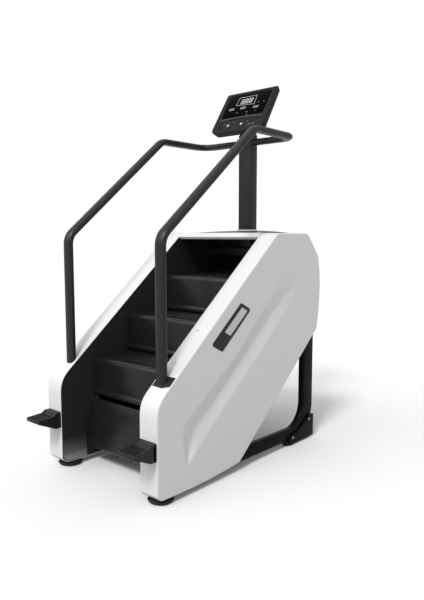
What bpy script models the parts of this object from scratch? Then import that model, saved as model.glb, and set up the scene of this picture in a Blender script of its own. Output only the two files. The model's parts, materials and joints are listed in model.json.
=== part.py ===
"""A revolving stair climber: eight steps on two chains between side housings, with rails and a console.

Y runs from the user's end to the back, Z is up, and +X is the machine's right-hand side as seen by
someone who looks along +Y. Heights are above the floor. All sizes are in metres.
"""

import math

import bmesh
import bpy
from mathutils import Matrix, Vector

# Driving dimensions
HALF_WIDTH = 0.415  # outer faces of the side housings
INNER_X = 0.302  # inner rims of the side housings
WALL = 0.003
GAP = 0.0004  # between pieces that touch
SLOPE = 0.83  # rise over run of the housings
EDGE_RISE = 0.478  # height at which the housings' sloping edge meets their front plane
UNDER_DROP = 0.442  # how far below the floor the underside's slope meets the front plane
HOUSING_BASE = 0.0275  # the lowest part of the bowed lower edge
HEEL_Z = 0.047  # where the lower edge meets the underside's slope
HOUSING_TOP = 1.235
PEDAL_REACH = 0.135

# Staircase
RUN = 0.25
RISE = 0.208
CHAIN_RADIUS = 0.13
LOWER_SHAFT = Vector((0.330, 0.265))  # y, z
STEP_COUNT = 8
TURNING_STEPS = (1, 5)
FIRST_PIN_TRAVEL = -0.039  # along the chain from where it leaves the lower sprocket
PIN_TO_TREAD = 0.028
PIN_TO_RISER = 0.008
TREAD_THICK = 0.012
RISER_THICK = 0.010
NOSE_RADIUS = 0.026
BEAD_HEIGHT = 0.033
BEAD_REACH = 0.010
STEP_HALF = 0.296
TURNING_STEP_HALF = 0.2815  # the two that turn at the ends leave room for the chains beside them
CHAIN_X = 0.2885
CHAIN_WIDE = 0.008
CHAIN_HALF_DEPTH = 0.009

# Rails, mast and console
RAIL_X = 0.344
RAIL_WIDE = 0.060
RAIL_DEEP = 0.038
RAIL_Y = 0.100
RAIL_KNEE_Z = 1.2155
RAIL_TOP_Z = 1.777
RAIL_TOP_Y = 0.785
RAIL_BEND = 0.085
MAST_Y = 1.180
MAST_WIDE = 0.100
MAST_DEEP = 0.064
MAST_TOP = 1.830
CONSOLE_LOW = Vector((1.050, 1.838))  # where heights up its face start, y, z
CONSOLE_WIDE = 0.388
CONSOLE_SPAN = (-0.006, 0.315)  # its lower and upper edges
CONSOLE_THICK = 0.045
CONSOLE_LEAN = math.radians(33.7)

# Rear support
LEG_X = (0.362, 0.402)
LEG_DEEP = 0.105
LEG_RUN_TALL = 0.072
LEG_FRONT_Y = 0.500
LEG_BACK_Y = 1.318
LEG_LOW = (0.0400, 0.0250)  # its lower face at the front and at the back
LEG_TOP = 0.950
LEG_BENDS = (0.135, 0.180)  # inside and outside radius
BRACKET_X = (0.4030, 0.4147)
TUBE_WALL = 0.003

# Drive, feet and small fittings
SHAFT_RADIUS = 0.015
SKIRT_X = (0.3024, 0.3050)
FRAME_X = (0.3055, 0.3095)
FLYWHEEL = Vector((0.700, 0.500))
PULLEY_X = (0.348, 0.364)
PULLEY_RADIUS = 0.090
FLYWHEEL_PULLEY_RADIUS = 0.020
FOOT = Vector((0.350, 0.082))  # x, y
WHEEL = Vector((1.272, 0.036))
WHEEL_RADIUS = 0.029
REAR_PAD_Y = 1.078
INLET = Vector((-0.200, 1.3585, 0.820))  # the centre of its face

# The console's face
CONSOLE_UP = Vector((0, math.sin(CONSOLE_LEAN), math.cos(CONSOLE_LEAN)))
CONSOLE_OUT = Vector((0, -math.cos(CONSOLE_LEAN), math.sin(CONSOLE_LEAN)))
DISPLAY_LOW, DISPLAY_HIGH, DISPLAY_HALF, DISPLAY_DEEP = 0.110, 0.292, 0.156, 0.0035
BUTTON_UP, BUTTON_RADIUS = 0.047, 0.009
BUTTONS = (("start_button", -0.072), ("stop_button", 0.028))

# Finishes: base colour, metallic, roughness
SILVER = ("silver_paint", (0.62, 0.63, 0.62), 0.6, 0.35)
BLACK_PAINT = ("black_paint", (0.035, 0.035, 0.036), 0.2, 0.45)
BLACK_PLASTIC = ("black_plastic", (0.022, 0.022, 0.023), 0.0, 0.3)
GLOSS_BLACK = ("gloss_black", (0.012, 0.012, 0.013), 0.0, 0.08)
RUBBER = ("rubber", (0.02, 0.02, 0.02), 0.0, 0.85)
STEEL = ("steel", (0.5, 0.5, 0.5), 1.0, 0.35)
CHROME = ("chrome", (0.8, 0.8, 0.8), 1.0, 0.1)
GREEN_BOARD = ("circuit_board", (0.02, 0.12, 0.05), 0.0, 0.4)
LIGHT_BUTTON = ("light_button", (0.55, 0.56, 0.58), 0.0, 0.35)


# Materials and scene

def clear_scene():
    for thing in list(bpy.data.objects):
        bpy.data.objects.remove(thing, do_unlink=True)


def new_collection(name):
    made = bpy.data.collections.new(name)
    bpy.context.scene.collection.children.link(made)
    return made


def finish_material(finish):
    name, colour, metallic, roughness = finish
    made = bpy.data.materials.get(name)
    if made is None:
        made = bpy.data.materials.new(name)
        made.use_nodes = True
        shader = made.node_tree.nodes["Principled BSDF"]
        shader.inputs["Base Color"].default_value = (*colour, 1.0)
        shader.inputs["Metallic"].default_value = metallic
        shader.inputs["Roughness"].default_value = roughness
    return made


def empty_at(name, y, z, x=0.0):
    made = bpy.data.objects.new(name, None)
    parts.objects.link(made)
    made.location = (x, y, z)
    made.parent = origin
    return made


def attach(thing, finish, parent=None):
    """Gives a piece its material and its parent, and leaves it where it was built."""
    thing.data.materials.clear()
    thing.data.materials.append(finish_material(finish))
    parent = parent or origin
    thing.parent = parent
    offset = Vector() if parent is origin else Vector(parent.location)
    thing.matrix_parent_inverse = Matrix.Translation(-offset)
    return thing


def smooth(thing, angle=32):
    thing.data.shade_smooth()
    thing.data.set_sharp_from_angle(angle=math.radians(angle))
    return thing


# Outlines in the plane of Y and Z

def rounded(corners, step_deg=15):
    """A closed outline from (y, z, radius) corners, with each corner turned as an arc."""
    outline = []
    count = len(corners)
    for i, (y, z, radius) in enumerate(corners):
        here = Vector((y, z))
        before = (Vector(corners[i - 1][:2]) - here).normalized()
        after = (Vector(corners[(i + 1) % count][:2]) - here).normalized()
        if radius == 0:
            outline.append(here)
            continue
        half = before.angle(after) / 2
        centre = here + (before + after).normalized() * radius / math.sin(half)
        first = here + before * radius / math.tan(half) - centre
        last = here + after * radius / math.tan(half) - centre
        turn = math.atan2(first.x * last.y - first.y * last.x, first.dot(last))
        steps = max(1, round(abs(math.degrees(turn)) / step_deg))
        for k in range(steps + 1):
            part = turn * k / steps
            turned = Vector((
                first.x * math.cos(part) - first.y * math.sin(part),
                first.x * math.sin(part) + first.y * math.cos(part),
            ))
            outline.append(centre + turned)
    return outline


def offset_outline(outline, inset):
    """The same outline moved inwards, for one that runs clockwise round its inside."""
    moved = []
    count = len(outline)
    for i, here in enumerate(outline):
        before = (here - outline[i - 1]).normalized()
        after = (outline[(i + 1) % count] - here).normalized()
        normal = Vector((before.y + after.y, -before.x - after.x)).normalized()
        share = max(0.5, normal.dot(Vector((before.y, -before.x))))
        moved.append(here + normal * inset / share)
    return moved


def disc_outline(centre, radius, sides=24):
    return [
        centre + radius * Vector((math.cos(math.tau * k / sides), math.sin(math.tau * k / sides)))
        for k in range(sides)
    ]


# Solids

def mesh_from_curve(curve_object):
    """Turns a curve object into a mesh object of the same name, with its caps welded on."""
    bpy.context.view_layer.update()
    graph = bpy.context.evaluated_depsgraph_get()
    mesh = bpy.data.meshes.new_from_object(curve_object.evaluated_get(graph))
    matrix = curve_object.matrix_world.copy()
    name = curve_object.name
    home = curve_object.users_collection[0]
    bpy.data.objects.remove(curve_object, do_unlink=True)
    shape = bmesh.new()
    shape.from_mesh(mesh)
    bmesh.ops.remove_doubles(shape, verts=shape.verts, dist=1e-6)
    bmesh.ops.recalc_face_normals(shape, faces=shape.faces)
    shape.to_mesh(mesh)
    shape.free()
    made = bpy.data.objects.new(name, mesh)
    home.objects.link(made)
    made.matrix_world = matrix
    return made


def slab(name, outline, thick, matrix, home=None, holes=()):
    """A flat piece cut to an outline in its matrix's X and Y, with half its thickness on each side."""
    curve = bpy.data.curves.new(name, "CURVE")
    curve.dimensions = "2D"
    curve.fill_mode = "BOTH"
    curve.extrude = thick / 2
    for ring in (outline, *holes):
        spline = curve.splines.new("POLY")
        spline.points.add(len(ring) - 1)
        for point, place in zip(spline.points, ring):
            point.co = (place[0], place[1], 0, 1)
        spline.use_cyclic_u = True
    made = bpy.data.objects.new(name, curve)
    (home or parts).objects.link(made)
    made.matrix_world = matrix
    return mesh_from_curve(made)


def plate(name, outline, x_from, x_to, home=None, holes=()):
    """A flat piece cut to an outline in Y and Z, between two values of X."""
    matrix = Matrix(((0, 0, 1, (x_from + x_to) / 2), (1, 0, 0, 0), (0, 1, 0, 0), (0, 0, 0, 1)))
    return slab(name, outline, abs(x_to - x_from), matrix, home, holes)


def box(name, size, centre, home=None, tilt=0.0, bevel=0.0, segments=1):
    """A box of this size, turned by tilt about X, with its edges bevelled."""
    bpy.ops.mesh.primitive_cube_add(size=1)
    made = bpy.context.object
    made.name = name
    for collection in made.users_collection:
        collection.objects.unlink(made)
    (home or parts).objects.link(made)
    made.data.transform(Matrix.Diagonal((*size, 1)))
    made.location = centre
    made.rotation_euler.x = tilt
    if bevel:
        rounding = made.modifiers.new("edges", "BEVEL")
        rounding.width = bevel
        rounding.segments = segments
    return made


def turned(name, profile, centre, axis="X", home=None, steps=28):
    """A turned piece: profile is (distance along the axis, radius), from its high end to its low end."""
    mesh = bpy.data.meshes.new(name)
    made = bpy.data.objects.new(name, mesh)
    (home or parts).objects.link(made)
    points = [(radius, 0, along) for along, radius in profile]
    mesh.from_pydata(points, [(i, i + 1) for i in range(len(points) - 1)], [])
    screw = made.modifiers.new("turn", "SCREW")
    screw.steps = screw.render_steps = steps
    screw.use_merge_vertices = True
    screw.merge_threshold = 0.00001
    screw.use_smooth_shade = True
    made.location = centre
    if axis == "X":
        made.rotation_euler.y = math.pi / 2
    return made


def tube(name, places, profile_points, home=None, tilt=0.0):
    """A tube that follows places, with a closed section given by its own points."""
    section_data = bpy.data.curves.new(name + "_section", "CURVE")
    section_data.dimensions = "2D"
    section_data.fill_mode = "NONE"
    ring = section_data.splines.new("POLY")
    ring.points.add(len(profile_points) - 1)
    for point, place in zip(ring.points, profile_points):
        point.co = (place[0], place[1], 0, 1)
    ring.use_cyclic_u = True
    section = bpy.data.objects.new(name + "_section", section_data)
    section.hide_render = True
    section.display_type = "WIRE"
    cutters.objects.link(section)
    curve = bpy.data.curves.new(name, "CURVE")
    curve.dimensions = "3D"
    curve.bevel_mode = "OBJECT"
    curve.bevel_object = section
    curve.use_fill_caps = True
    spline = curve.splines.new("POLY")
    spline.points.add(len(places) - 1)
    for point, place in zip(spline.points, places):
        point.co = (*place, 1)
        point.tilt = tilt
    made = bpy.data.objects.new(name, curve)
    (home or parts).objects.link(made)
    made = mesh_from_curve(made)
    bpy.data.objects.remove(section, do_unlink=True)
    return made


def bent_path(corners, radius, step_deg=12):
    """Points along straight runs between corners, with each inner corner turned as an arc."""
    places = [Vector(corners[0])]
    for before, here, after in zip(corners, corners[1:], corners[2:]):
        here = Vector(here)
        back = (Vector(before) - here).normalized()
        ahead = (Vector(after) - here).normalized()
        half = back.angle(ahead) / 2
        centre = here + (back + ahead).normalized() * radius / math.sin(half)
        first = here + back * radius / math.tan(half) - centre
        last = here + ahead * radius / math.tan(half) - centre
        turn = first.angle(last)
        across = (last - first * math.cos(turn)) / math.sin(turn)
        steps = max(2, round(math.degrees(turn) / step_deg))
        for k in range(steps + 1):
            part = turn * k / steps
            places.append(centre + first * math.cos(part) + across * math.sin(part))
    places.append(Vector(corners[-1]))
    return places


def cut(thing, cutter, operation="DIFFERENCE"):
    """Applies a Boolean at once and removes its cutter."""
    boolean = thing.modifiers.new("cut", "BOOLEAN")
    boolean.operation = operation
    boolean.solver = "EXACT"
    boolean.object = cutter
    bpy.context.view_layer.update()
    graph = bpy.context.evaluated_depsgraph_get()
    mesh = bpy.data.meshes.new_from_object(thing.evaluated_get(graph))
    thing.modifiers.clear()
    thing.data = mesh
    bpy.data.objects.remove(cutter, do_unlink=True)
    return thing


def both_sides():
    return (("right", 1), ("left", -1))


# The housings' shape

def housing_outline():
    """The side housing's outline in Y and Z, clockwise from its lower front corner."""
    return rounded([
        (0.0, 0.058, 0.012),
        (0.0, EDGE_RISE, 0.12),
        ((HOUSING_TOP - EDGE_RISE) / SLOPE, HOUSING_TOP, 0.03),
        (1.215, HOUSING_TOP, 0.035),
        (1.340, 1.098, 0.07),
        (1.374, 0.900, 0.45),
        (1.334, 0.665, 0.035),
        ((HEEL_Z + UNDER_DROP) / SLOPE, HEEL_Z, 0.015),
        (0.360, HOUSING_BASE + 0.001, 1.5),
        (0.150, HOUSING_BASE, 1.5),
        (0.024, 0.034, 0.012),
    ])


def stretch(outline, start, end):
    """The part of a closed outline from the place nearest start to the place nearest end."""
    count = len(outline)

    def nearest(place):
        found = []
        for i, here in enumerate(outline):
            run = outline[(i + 1) % count] - here
            share = min(1.0, max(0.0, (place - here).dot(run) / run.length_squared))
            found.append(((here + run * share - place).length, i, here + run * share))
        return min(found, key=lambda item: item[0])[1:]

    first, first_place = nearest(Vector(start))
    last, last_place = nearest(Vector(end))
    between = [outline[(first + 1 + k) % count] for k in range((last - first) % count)]
    return [first_place, *between, last_place]


def strip_outline(places, thick):
    """A strip of this thickness on the right-hand side of an open path."""
    inner = []
    for i, here in enumerate(places):
        before = (here - places[i - 1]).normalized() if i else None
        after = (places[i + 1] - here).normalized() if i + 1 < len(places) else before
        before = before or after
        normal = Vector((before.y + after.y, -before.x - after.x)).normalized()
        inner.append(here + normal * thick / normal.dot(Vector((before.y, -before.x))))
    return [*places, *reversed(inner)]


# The staircase's path and its steps

PITCH = math.hypot(RUN, RISE)
UP_THE_CHAIN = Vector((RUN, RISE)).normalized()
CHAIN_OUT = Vector((-UP_THE_CHAIN.y, UP_THE_CHAIN.x))
SHAFT_APART = STEP_COUNT * PITCH / 2 - math.pi * CHAIN_RADIUS
UPPER_SHAFT = LOWER_SHAFT + UP_THE_CHAIN * SHAFT_APART


def chain_place(travel):
    """The place on the chain's loop this far from where it leaves the lower sprocket, going up."""
    half_turn = math.pi * CHAIN_RADIUS
    travel %= 2 * (SHAFT_APART + half_turn)
    if travel < SHAFT_APART:
        return LOWER_SHAFT + CHAIN_OUT * CHAIN_RADIUS + UP_THE_CHAIN * travel
    travel -= SHAFT_APART
    if travel < half_turn:
        angle = travel / CHAIN_RADIUS
        return UPPER_SHAFT + CHAIN_RADIUS * (
            CHAIN_OUT * math.cos(angle) + UP_THE_CHAIN * math.sin(angle)
        )
    travel -= half_turn
    if travel < SHAFT_APART:
        return UPPER_SHAFT - CHAIN_OUT * CHAIN_RADIUS - UP_THE_CHAIN * travel
    angle = (travel - SHAFT_APART) / CHAIN_RADIUS
    return LOWER_SHAFT - CHAIN_RADIUS * (
        CHAIN_OUT * math.cos(angle) + UP_THE_CHAIN * math.sin(angle)
    )


def pin_place(number):
    return chain_place(FIRST_PIN_TRAVEL + (number - 1) * PITCH)


class StepFrame:
    """Places on one step: its tread runs from the rear pin to the nose, its riser on to the front pin."""

    def __init__(self, number):
        self.rear, self.front = pin_place(number), pin_place(number - 1)
        chord = self.front - self.rear
        along = chord.normalized()
        outward = Vector((along.y, -along.x))
        reach = (RUN**2 - RISE**2 + chord.length_squared) / (2 * chord.length)
        self.nose = self.rear + along * reach + outward * math.sqrt(RUN**2 - reach**2)
        self.tread_way = (self.nose - self.rear).normalized()
        self.riser_way = (self.front - self.nose).normalized()
        self.tread_out = Vector((self.tread_way.y, -self.tread_way.x))
        self.riser_out = Vector((self.riser_way.y, -self.riser_way.x))

    def tread(self, distance, height):
        return self.rear + self.tread_way * distance + self.tread_out * height

    def riser(self, distance, height):
        return self.nose + self.riser_way * distance + self.riser_out * height

    def corner(self, tread_height, riser_height):
        """Where a line over the tread meets a line over the riser."""
        a, b = self.tread_out, self.riser_out
        span = a.x * b.y - a.y * b.x
        y = (tread_height * b.y - riser_height * a.y) / span
        z = (riser_height * a.x - tread_height * b.x) / span
        return self.nose + Vector((y, z))


def step(number, parent):
    frame = StepFrame(number)
    low = RISE - PIN_TO_TREAD - 0.002  # the riser's lower edge, just over the next tread
    back = PIN_TO_RISER - RISER_THICK
    under = PIN_TO_TREAD - TREAD_THICK
    bead = PIN_TO_RISER + BEAD_REACH
    tread_end = 0.012
    if number == 1:
        tread_end = -0.008  # the lowest tread's end shows under the next riser
    shape = rounded([
        (*frame.tread(tread_end, PIN_TO_TREAD), 0),
        (*frame.corner(PIN_TO_TREAD, PIN_TO_RISER), NOSE_RADIUS),
        (*frame.riser(low - BEAD_HEIGHT - 0.004, PIN_TO_RISER), 0),
        (*frame.riser(low - BEAD_HEIGHT + 0.003, bead), 0.004),
        (*frame.riser(low, bead), 0.008),
        (*frame.riser(low, back), 0),
        (*frame.corner(under, back), 0.012),
        (*frame.tread(tread_end, under), 0),
    ], step_deg=22)
    half = TURNING_STEP_HALF if number in TURNING_STEPS else STEP_HALF
    made = plate(f"step_{number}", shape, -half, half)
    if number == 1:
        notch = [
            Vector(frame.tread(-0.020, 0.040)), Vector(frame.tread(0.022, 0.040)),
            Vector(frame.tread(0.022, -0.005)), Vector(frame.tread(-0.020, -0.005)),
        ]
        for _, side in both_sides():
            cut(made, plate("ear_notch", notch, side * 0.2690, side * 0.2790, cutters))
    rear_ear = rounded([
        (*frame.tread(-0.010, under + 0.004), 0),
        (*frame.tread(0.080, under + 0.004), 0),
        (*frame.tread(-0.010, -0.013), 0.009),
    ], step_deg=40)
    front_ear = rounded([
        (*frame.riser(0.110, back + 0.003), 0),
        (*frame.riser(RISE + 0.012, back + 0.008), 0.006),
        (*frame.riser(RISE + 0.012, back - 0.010), 0.006),
        (*frame.riser(0.150, back - 0.010), 0),
    ], step_deg=40)
    for _, side in both_sides():
        for ear, inside, outside in ((rear_ear, 0.262, 0.268), (front_ear, 0.271, 0.277)):
            cut(made, plate("ear", ear, side * inside, side * outside, cutters), "UNION")
    attach(smooth(made), BLACK_PLASTIC, parent)


def loop_outline(radius):
    """The outline of a band that runs round both shafts at this radius."""
    outline = []
    for shaft, start in ((UPPER_SHAFT, 0.0), (LOWER_SHAFT, math.pi)):
        for k in range(13):
            angle = start + math.pi * k / 12
            outline.append(
                shaft + radius * (CHAIN_OUT * math.cos(angle) + UP_THE_CHAIN * math.sin(angle))
            )
    return outline


def belt_outline(first, first_radius, second, second_radius):
    """The outline of an open belt round two circles."""
    apart = second - first
    lean = math.acos((first_radius - second_radius) / apart.length)
    way = math.atan2(apart.y, apart.x)
    outline = []
    for centre, radius, start, end in (
        (first, first_radius, way + lean, way + math.tau - lean),
        (second, second_radius, way - lean, way + lean),
    ):
        steps = max(6, round((end - start) / 0.35))
        for k in range(steps + 1):
            angle = start + (end - start) * k / steps
            outline.append(centre + radius * Vector((math.cos(angle), math.sin(angle))))
    return outline


def leg_outline(clearance=0.0, past_top=0.0):
    """The rear leg's outline in Y and Z, grown by a clearance and carried on past its top end."""
    c = clearance
    inner_y = LEG_BACK_Y - LEG_DEEP
    front_low, back_low = LEG_LOW
    top = LEG_TOP + c + past_top
    return rounded([
        (LEG_FRONT_Y - c, front_low - c, 0),
        (LEG_FRONT_Y - c, front_low + LEG_RUN_TALL + c, 0),
        (inner_y - c, back_low + LEG_RUN_TALL + c, LEG_BENDS[0] - c),
        (inner_y - c, top, 0),
        (LEG_BACK_Y + c, top, 0),
        (LEG_BACK_Y + c, back_low - c, LEG_BENDS[1] + c),
    ], step_deg=12)


def post_opening(inset=0.0):
    """The opening round the post in the sloping edge, in X and Y, for the right-hand housing."""
    return [
        Vector((0.3070 + inset, 0.0730 + inset)), Vector((0.3070 + inset, 0.1230 - inset)),
        Vector((0.4115 - inset, 0.1230 - inset)), Vector((0.4115 - inset, 0.0840 + inset)),
        Vector((0.3720, 0.0715 + inset)),
    ]


def column(name, outline, side, z_from, z_to, home=None):
    """An upright piece cut to an outline in X and Y that is given for the right-hand side."""
    matrix = Matrix.Translation((0, 0, (z_from + z_to) / 2))
    return slab(name, [Vector((side * x, y)) for x, y in outline], z_to - z_from, matrix, home)


def side_cover(word, side):
    outline = housing_outline()
    made = plate(f"side_cover_{word}", outline, side * INNER_X, side * HALF_WIDTH)
    hollow = offset_outline(outline, WALL)
    cut(made, plate("hollow", hollow, side * (INNER_X - 0.02), side * (HALF_WIDTH - WALL), cutters))
    cut(made, column("post_hole", post_opening(), side, 0.48, 0.66, cutters))
    leg = plate("leg_hole", leg_outline(0.0015), side * (LEG_X[0] - 0.0015),
                side * (LEG_X[1] + 0.0015), cutters)
    cut(made, leg)
    stem = turned("stem_hole", [(0.02, 0), (0.02, 0.011), (-0.02, 0.011), (-0.02, 0)],
                  (side * FOOT.x, FOOT.y, HOUSING_BASE), "Z", cutters, 16)
    cut(made, stem)
    attach(smooth(made), SILVER)


def inner_skirt(word, side):
    outline = offset_outline(housing_outline(), WALL + 0.0008)
    holes = [disc_outline(shaft, SHAFT_RADIUS + 0.006, 16) for shaft in (LOWER_SHAFT, UPPER_SHAFT)]
    made = plate(f"inner_skirt_{word}", outline, side * SKIRT_X[0], side * SKIRT_X[1], holes=holes)
    attach(smooth(made), GLOSS_BLACK)


def side_plate(word, side):
    outline = rounded([
        (0.014, 0.058, 0.01), (0.014, 0.450, 0.08), (0.905, 1.195, 0.03), (1.195, 1.195, 0.04),
        (1.335, 1.030, 0.10), (1.325, 0.690, 0.05), (0.570, 0.060, 0.02),
    ], step_deg=25)
    holes = [disc_outline(shaft, SHAFT_RADIUS + 0.004, 16) for shaft in (LOWER_SHAFT, UPPER_SHAFT)]
    if side > 0:
        holes.append(disc_outline(FLYWHEEL, 0.016, 16))
    made = plate(f"side_plate_{word}", outline, side * FRAME_X[0], side * FRAME_X[1], holes=holes)
    attach(made, BLACK_PAINT)


def covers():
    """The covers between the housings: over the top, down the back and under the slope."""
    outline = housing_outline()
    half = INNER_X - 0.0006
    thick = 0.0025
    lip = Vector((0.886, EDGE_RISE + SLOPE * 0.886))
    top_end = Vector((1.2950, 1.1473))
    rear_end = Vector((1.315, 0.6495))
    joint = 0.0015
    hem = lip + Vector((SLOPE, -1)).normalized() * 0.014
    top = [hem, *stretch(outline, lip, top_end)]
    made = plate("top_cover", strip_outline(top, thick), -half, half)
    cut(made, box("mast_hole", (MAST_WIDE + 0.0016, MAST_DEEP + 0.0016, 0.2),
                  (0, MAST_Y, HOUSING_TOP), cutters))
    attach(smooth(made), SILVER)
    rear_start = top_end + Vector((0.674, -0.7387)) * joint
    made = plate("rear_cover", strip_outline(stretch(outline, rear_start, rear_end), thick), -half, half)
    cut(made, box("inlet_hole", (0.0490, 0.06, 0.0290), INLET, cutters))
    attach(smooth(made), BLACK_PLASTIC)
    under_start = rear_end - Vector((1, SLOPE)).normalized() * joint
    under_end = Vector((0.640, SLOPE * 0.640 - UNDER_DROP))
    made = plate("under_cover", strip_outline(stretch(outline, under_start, under_end), thick), -half, half)
    attach(smooth(made), BLACK_PLASTIC)


def power_inlet():
    """A mains inlet: a body behind the rear cover and a socket that opens to the back."""
    made = box("power_inlet", (0.0480, 0.030, 0.0280), INLET - Vector((0, 0.015, 0)))
    cut(made, box("socket", (0.026, 0.030, 0.017), INLET, cutters))
    attach(made, BLACK_PLASTIC)


# Rails, mast and console

def rail_section(inset):
    """The rail's oval section, inset all round."""
    half_wide, half_deep = RAIL_WIDE / 2 - inset, RAIL_DEEP / 2 - inset
    return [
        Vector((half_wide * math.cos(angle), half_deep * math.sin(angle)))
        for angle in (math.tau * k / 14 for k in range(14))
    ]


def handrail(word, side):
    corners = [
        (side * RAIL_X, RAIL_Y, 0.300),
        (side * RAIL_X, RAIL_Y, RAIL_KNEE_Z),
        (side * RAIL_X, RAIL_TOP_Y, RAIL_TOP_Z),
        (side * (RAIL_X - 0.008), MAST_Y - 0.018, RAIL_TOP_Z),
        (side * (MAST_WIDE / 2 + GAP), MAST_Y - 0.016, RAIL_TOP_Z),
    ]
    path = bent_path(corners, RAIL_BEND)
    made = tube(f"handrail_{word}", path, rail_section(0))
    bore = [path[0] - Vector((0, 0, 0.010)), *path[1:-1], path[-1] + Vector((side * TUBE_WALL, 0, 0))]
    cut(made, tube("bore", bore, rail_section(TUBE_WALL), cutters))
    attach(smooth(made, 50), BLACK_PAINT)


def post_boot(word, side):
    """A filler that closes the opening round the post, sunk a little below the sloping edge."""
    near_y, far_y = 0.060, 0.135
    shape = [
        Vector((y, EDGE_RISE + SLOPE * y - drop))
        for y, drop in ((near_y, 0.0115), (near_y, 0.0035), (far_y, 0.0035), (far_y, 0.0115))
    ]
    made = plate(f"post_boot_{word}", shape, side * 0.300, side * 0.420)
    cut(made, column("edge", post_opening(0.0008), side, 0.48, 0.66, cutters), "INTERSECT")
    cut(made, box("post", (RAIL_WIDE + 0.0016, RAIL_DEEP + 0.0016, 0.2),
                  (side * RAIL_X, RAIL_Y, 0.56), cutters))
    attach(made, BLACK_PLASTIC)


def mast():
    base_z, collar_tall = 1.1460, 0.022
    made = box("mast", (MAST_WIDE, MAST_DEEP, MAST_TOP - base_z),
               (0, MAST_Y, (MAST_TOP + base_z) / 2), bevel=0.008, segments=2)
    wall, head = 0.0045, 0.012
    cut(made, box("bore", (MAST_WIDE - 2 * wall, MAST_DEEP - 2 * wall, MAST_TOP - base_z),
                  (0, MAST_Y, (MAST_TOP + base_z) / 2 - head), cutters))
    attach(smooth(made), BLACK_PAINT)
    collar = box("mast_collar", (MAST_WIDE + 0.024, MAST_DEEP + 0.022, collar_tall),
                 (0, MAST_Y - 0.004, HOUSING_TOP + GAP + collar_tall / 2))
    cut(collar, box("collar_hole", (MAST_WIDE + 0.0008, MAST_DEEP + 0.0008, 0.1),
                    (0, MAST_Y, HOUSING_TOP), cutters))
    attach(collar, CHROME)


def console_matrix(x, up, out):
    """Stands a piece on the console's face: local X across, Y up the face, Z out of it."""
    place = Vector((0, *CONSOLE_LOW)) + Vector((x, 0, 0)) + CONSOLE_UP * up + CONSOLE_OUT * out
    made = Matrix.Identity(4)
    for column, way in enumerate((Vector((1, 0, 0)), CONSOLE_UP, CONSOLE_OUT)):
        made.col[column] = (*way, 0)
    made.col[3] = (*place, 1)
    return made


def face_slab(name, corners, out_from, out_to, home=None):
    """A slab on the console's face, between two heights over it."""
    matrix = console_matrix(0, 0, (out_from + out_to) / 2)
    return slab(name, rounded(corners, 18), out_to - out_from, matrix, home)


def upright(half, low, high, low_radius, high_radius):
    """The corners of a rectangle on the console's face, with its own radius below and above."""
    return [
        (-half, low, low_radius), (-half, high, high_radius),
        (half, high, high_radius), (half, low, low_radius),
    ]


def console():
    half = CONSOLE_WIDE / 2
    body = face_slab("console_housing", upright(half, *CONSOLE_SPAN, 0.045, 0.018), -CONSOLE_THICK, 0)
    cut(body, face_slab("pocket", upright(DISPLAY_HALF, DISPLAY_LOW, DISPLAY_HIGH, 0.012, 0.012),
                        -DISPLAY_DEEP, 0.02, cutters))
    for name, x in BUTTONS:
        hole = turned("hole", [(0.02, 0), (0.02, 0.0096), (-0.010, 0.0096), (-0.010, 0)],
                      (0, 0, 0), "Z", cutters, 20)
        hole.matrix_world = console_matrix(x, BUTTON_UP, 0)
        cut(body, hole)
        home = console_matrix(x, BUTTON_UP, 0).translation
        centre = empty_at(name + "_axis", home.y, home.z, home.x)
        button = turned(name, [(0.0035, 0), (0.0035, 0.0080), (0.0025, BUTTON_RADIUS),
                               (-0.0070, BUTTON_RADIUS), (-0.0070, 0)], (0, 0, 0), "Z", None, 20)
        button.matrix_world = console_matrix(x, BUTTON_UP, 0)
        attach(button, LIGHT_BUTTON, centre)
    attach(smooth(body), BLACK_PLASTIC)
    inset = 0.0005
    panel = face_slab("display_panel", upright(DISPLAY_HALF - inset, DISPLAY_LOW + inset,
                                               DISPLAY_HIGH - inset, 0.0115, 0.0115),
                      -DISPLAY_DEEP + GAP, -0.0004)
    attach(smooth(panel), GLOSS_BLACK)
    back = Vector((0, *CONSOLE_LOW)) - CONSOLE_OUT * CONSOLE_THICK
    lean = CONSOLE_UP.z / CONSOLE_UP.y
    near_y, far_y, lift = MAST_Y - 0.030, MAST_Y + 0.030, 0.0008
    wedge = [Vector((near_y, MAST_TOP + GAP)), Vector((far_y, MAST_TOP + GAP))]
    for y in (far_y, near_y):
        wedge.append(Vector((y, back.z + (y - back.y) * lean - lift)))
    attach(plate("console_bracket", wedge, -0.042, 0.042), BLACK_PAINT)


# Supports

def rear_leg(word, side):
    made = plate(f"rear_leg_{word}", leg_outline(), side * LEG_X[0], side * LEG_X[1])
    cut(made, plate("bore", leg_outline(-TUBE_WALL, 0.02), side * (LEG_X[0] + TUBE_WALL),
                    side * (LEG_X[1] - TUBE_WALL), cutters))
    attach(smooth(made), BLACK_PAINT)


def corner_bracket(word, side):
    """A gusset over the leg's bend, with the transport wheel's stub axle on its inner face."""
    outline = rounded([
        (1.079, 0.010, 0.008), (1.079, 0.062, 0.010), (1.159, 0.079, 0.05),
        (1.267, 0.144, 0.006), (1.312, 0.144, 0.008), (1.312, 0.010, 0.014),
    ], step_deg=20)
    made = plate(f"corner_bracket_{word}", outline, side * BRACKET_X[0], side * BRACKET_X[1])
    axle = [(BRACKET_X[0] + 0.002, 0), (BRACKET_X[0] + 0.002, 0.006), (0.3670, 0.006), (0.3670, 0)]
    cut(made, turned("axle", mirrored(axle, side), (0, *WHEEL), "X", cutters, 16), "UNION")
    attach(smooth(made), BLACK_PAINT)


def mirrored(profile, side):
    """A turned profile for the other side, still from its high end to its low end."""
    return profile if side > 0 else [(-along, radius) for along, radius in reversed(profile)]


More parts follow.
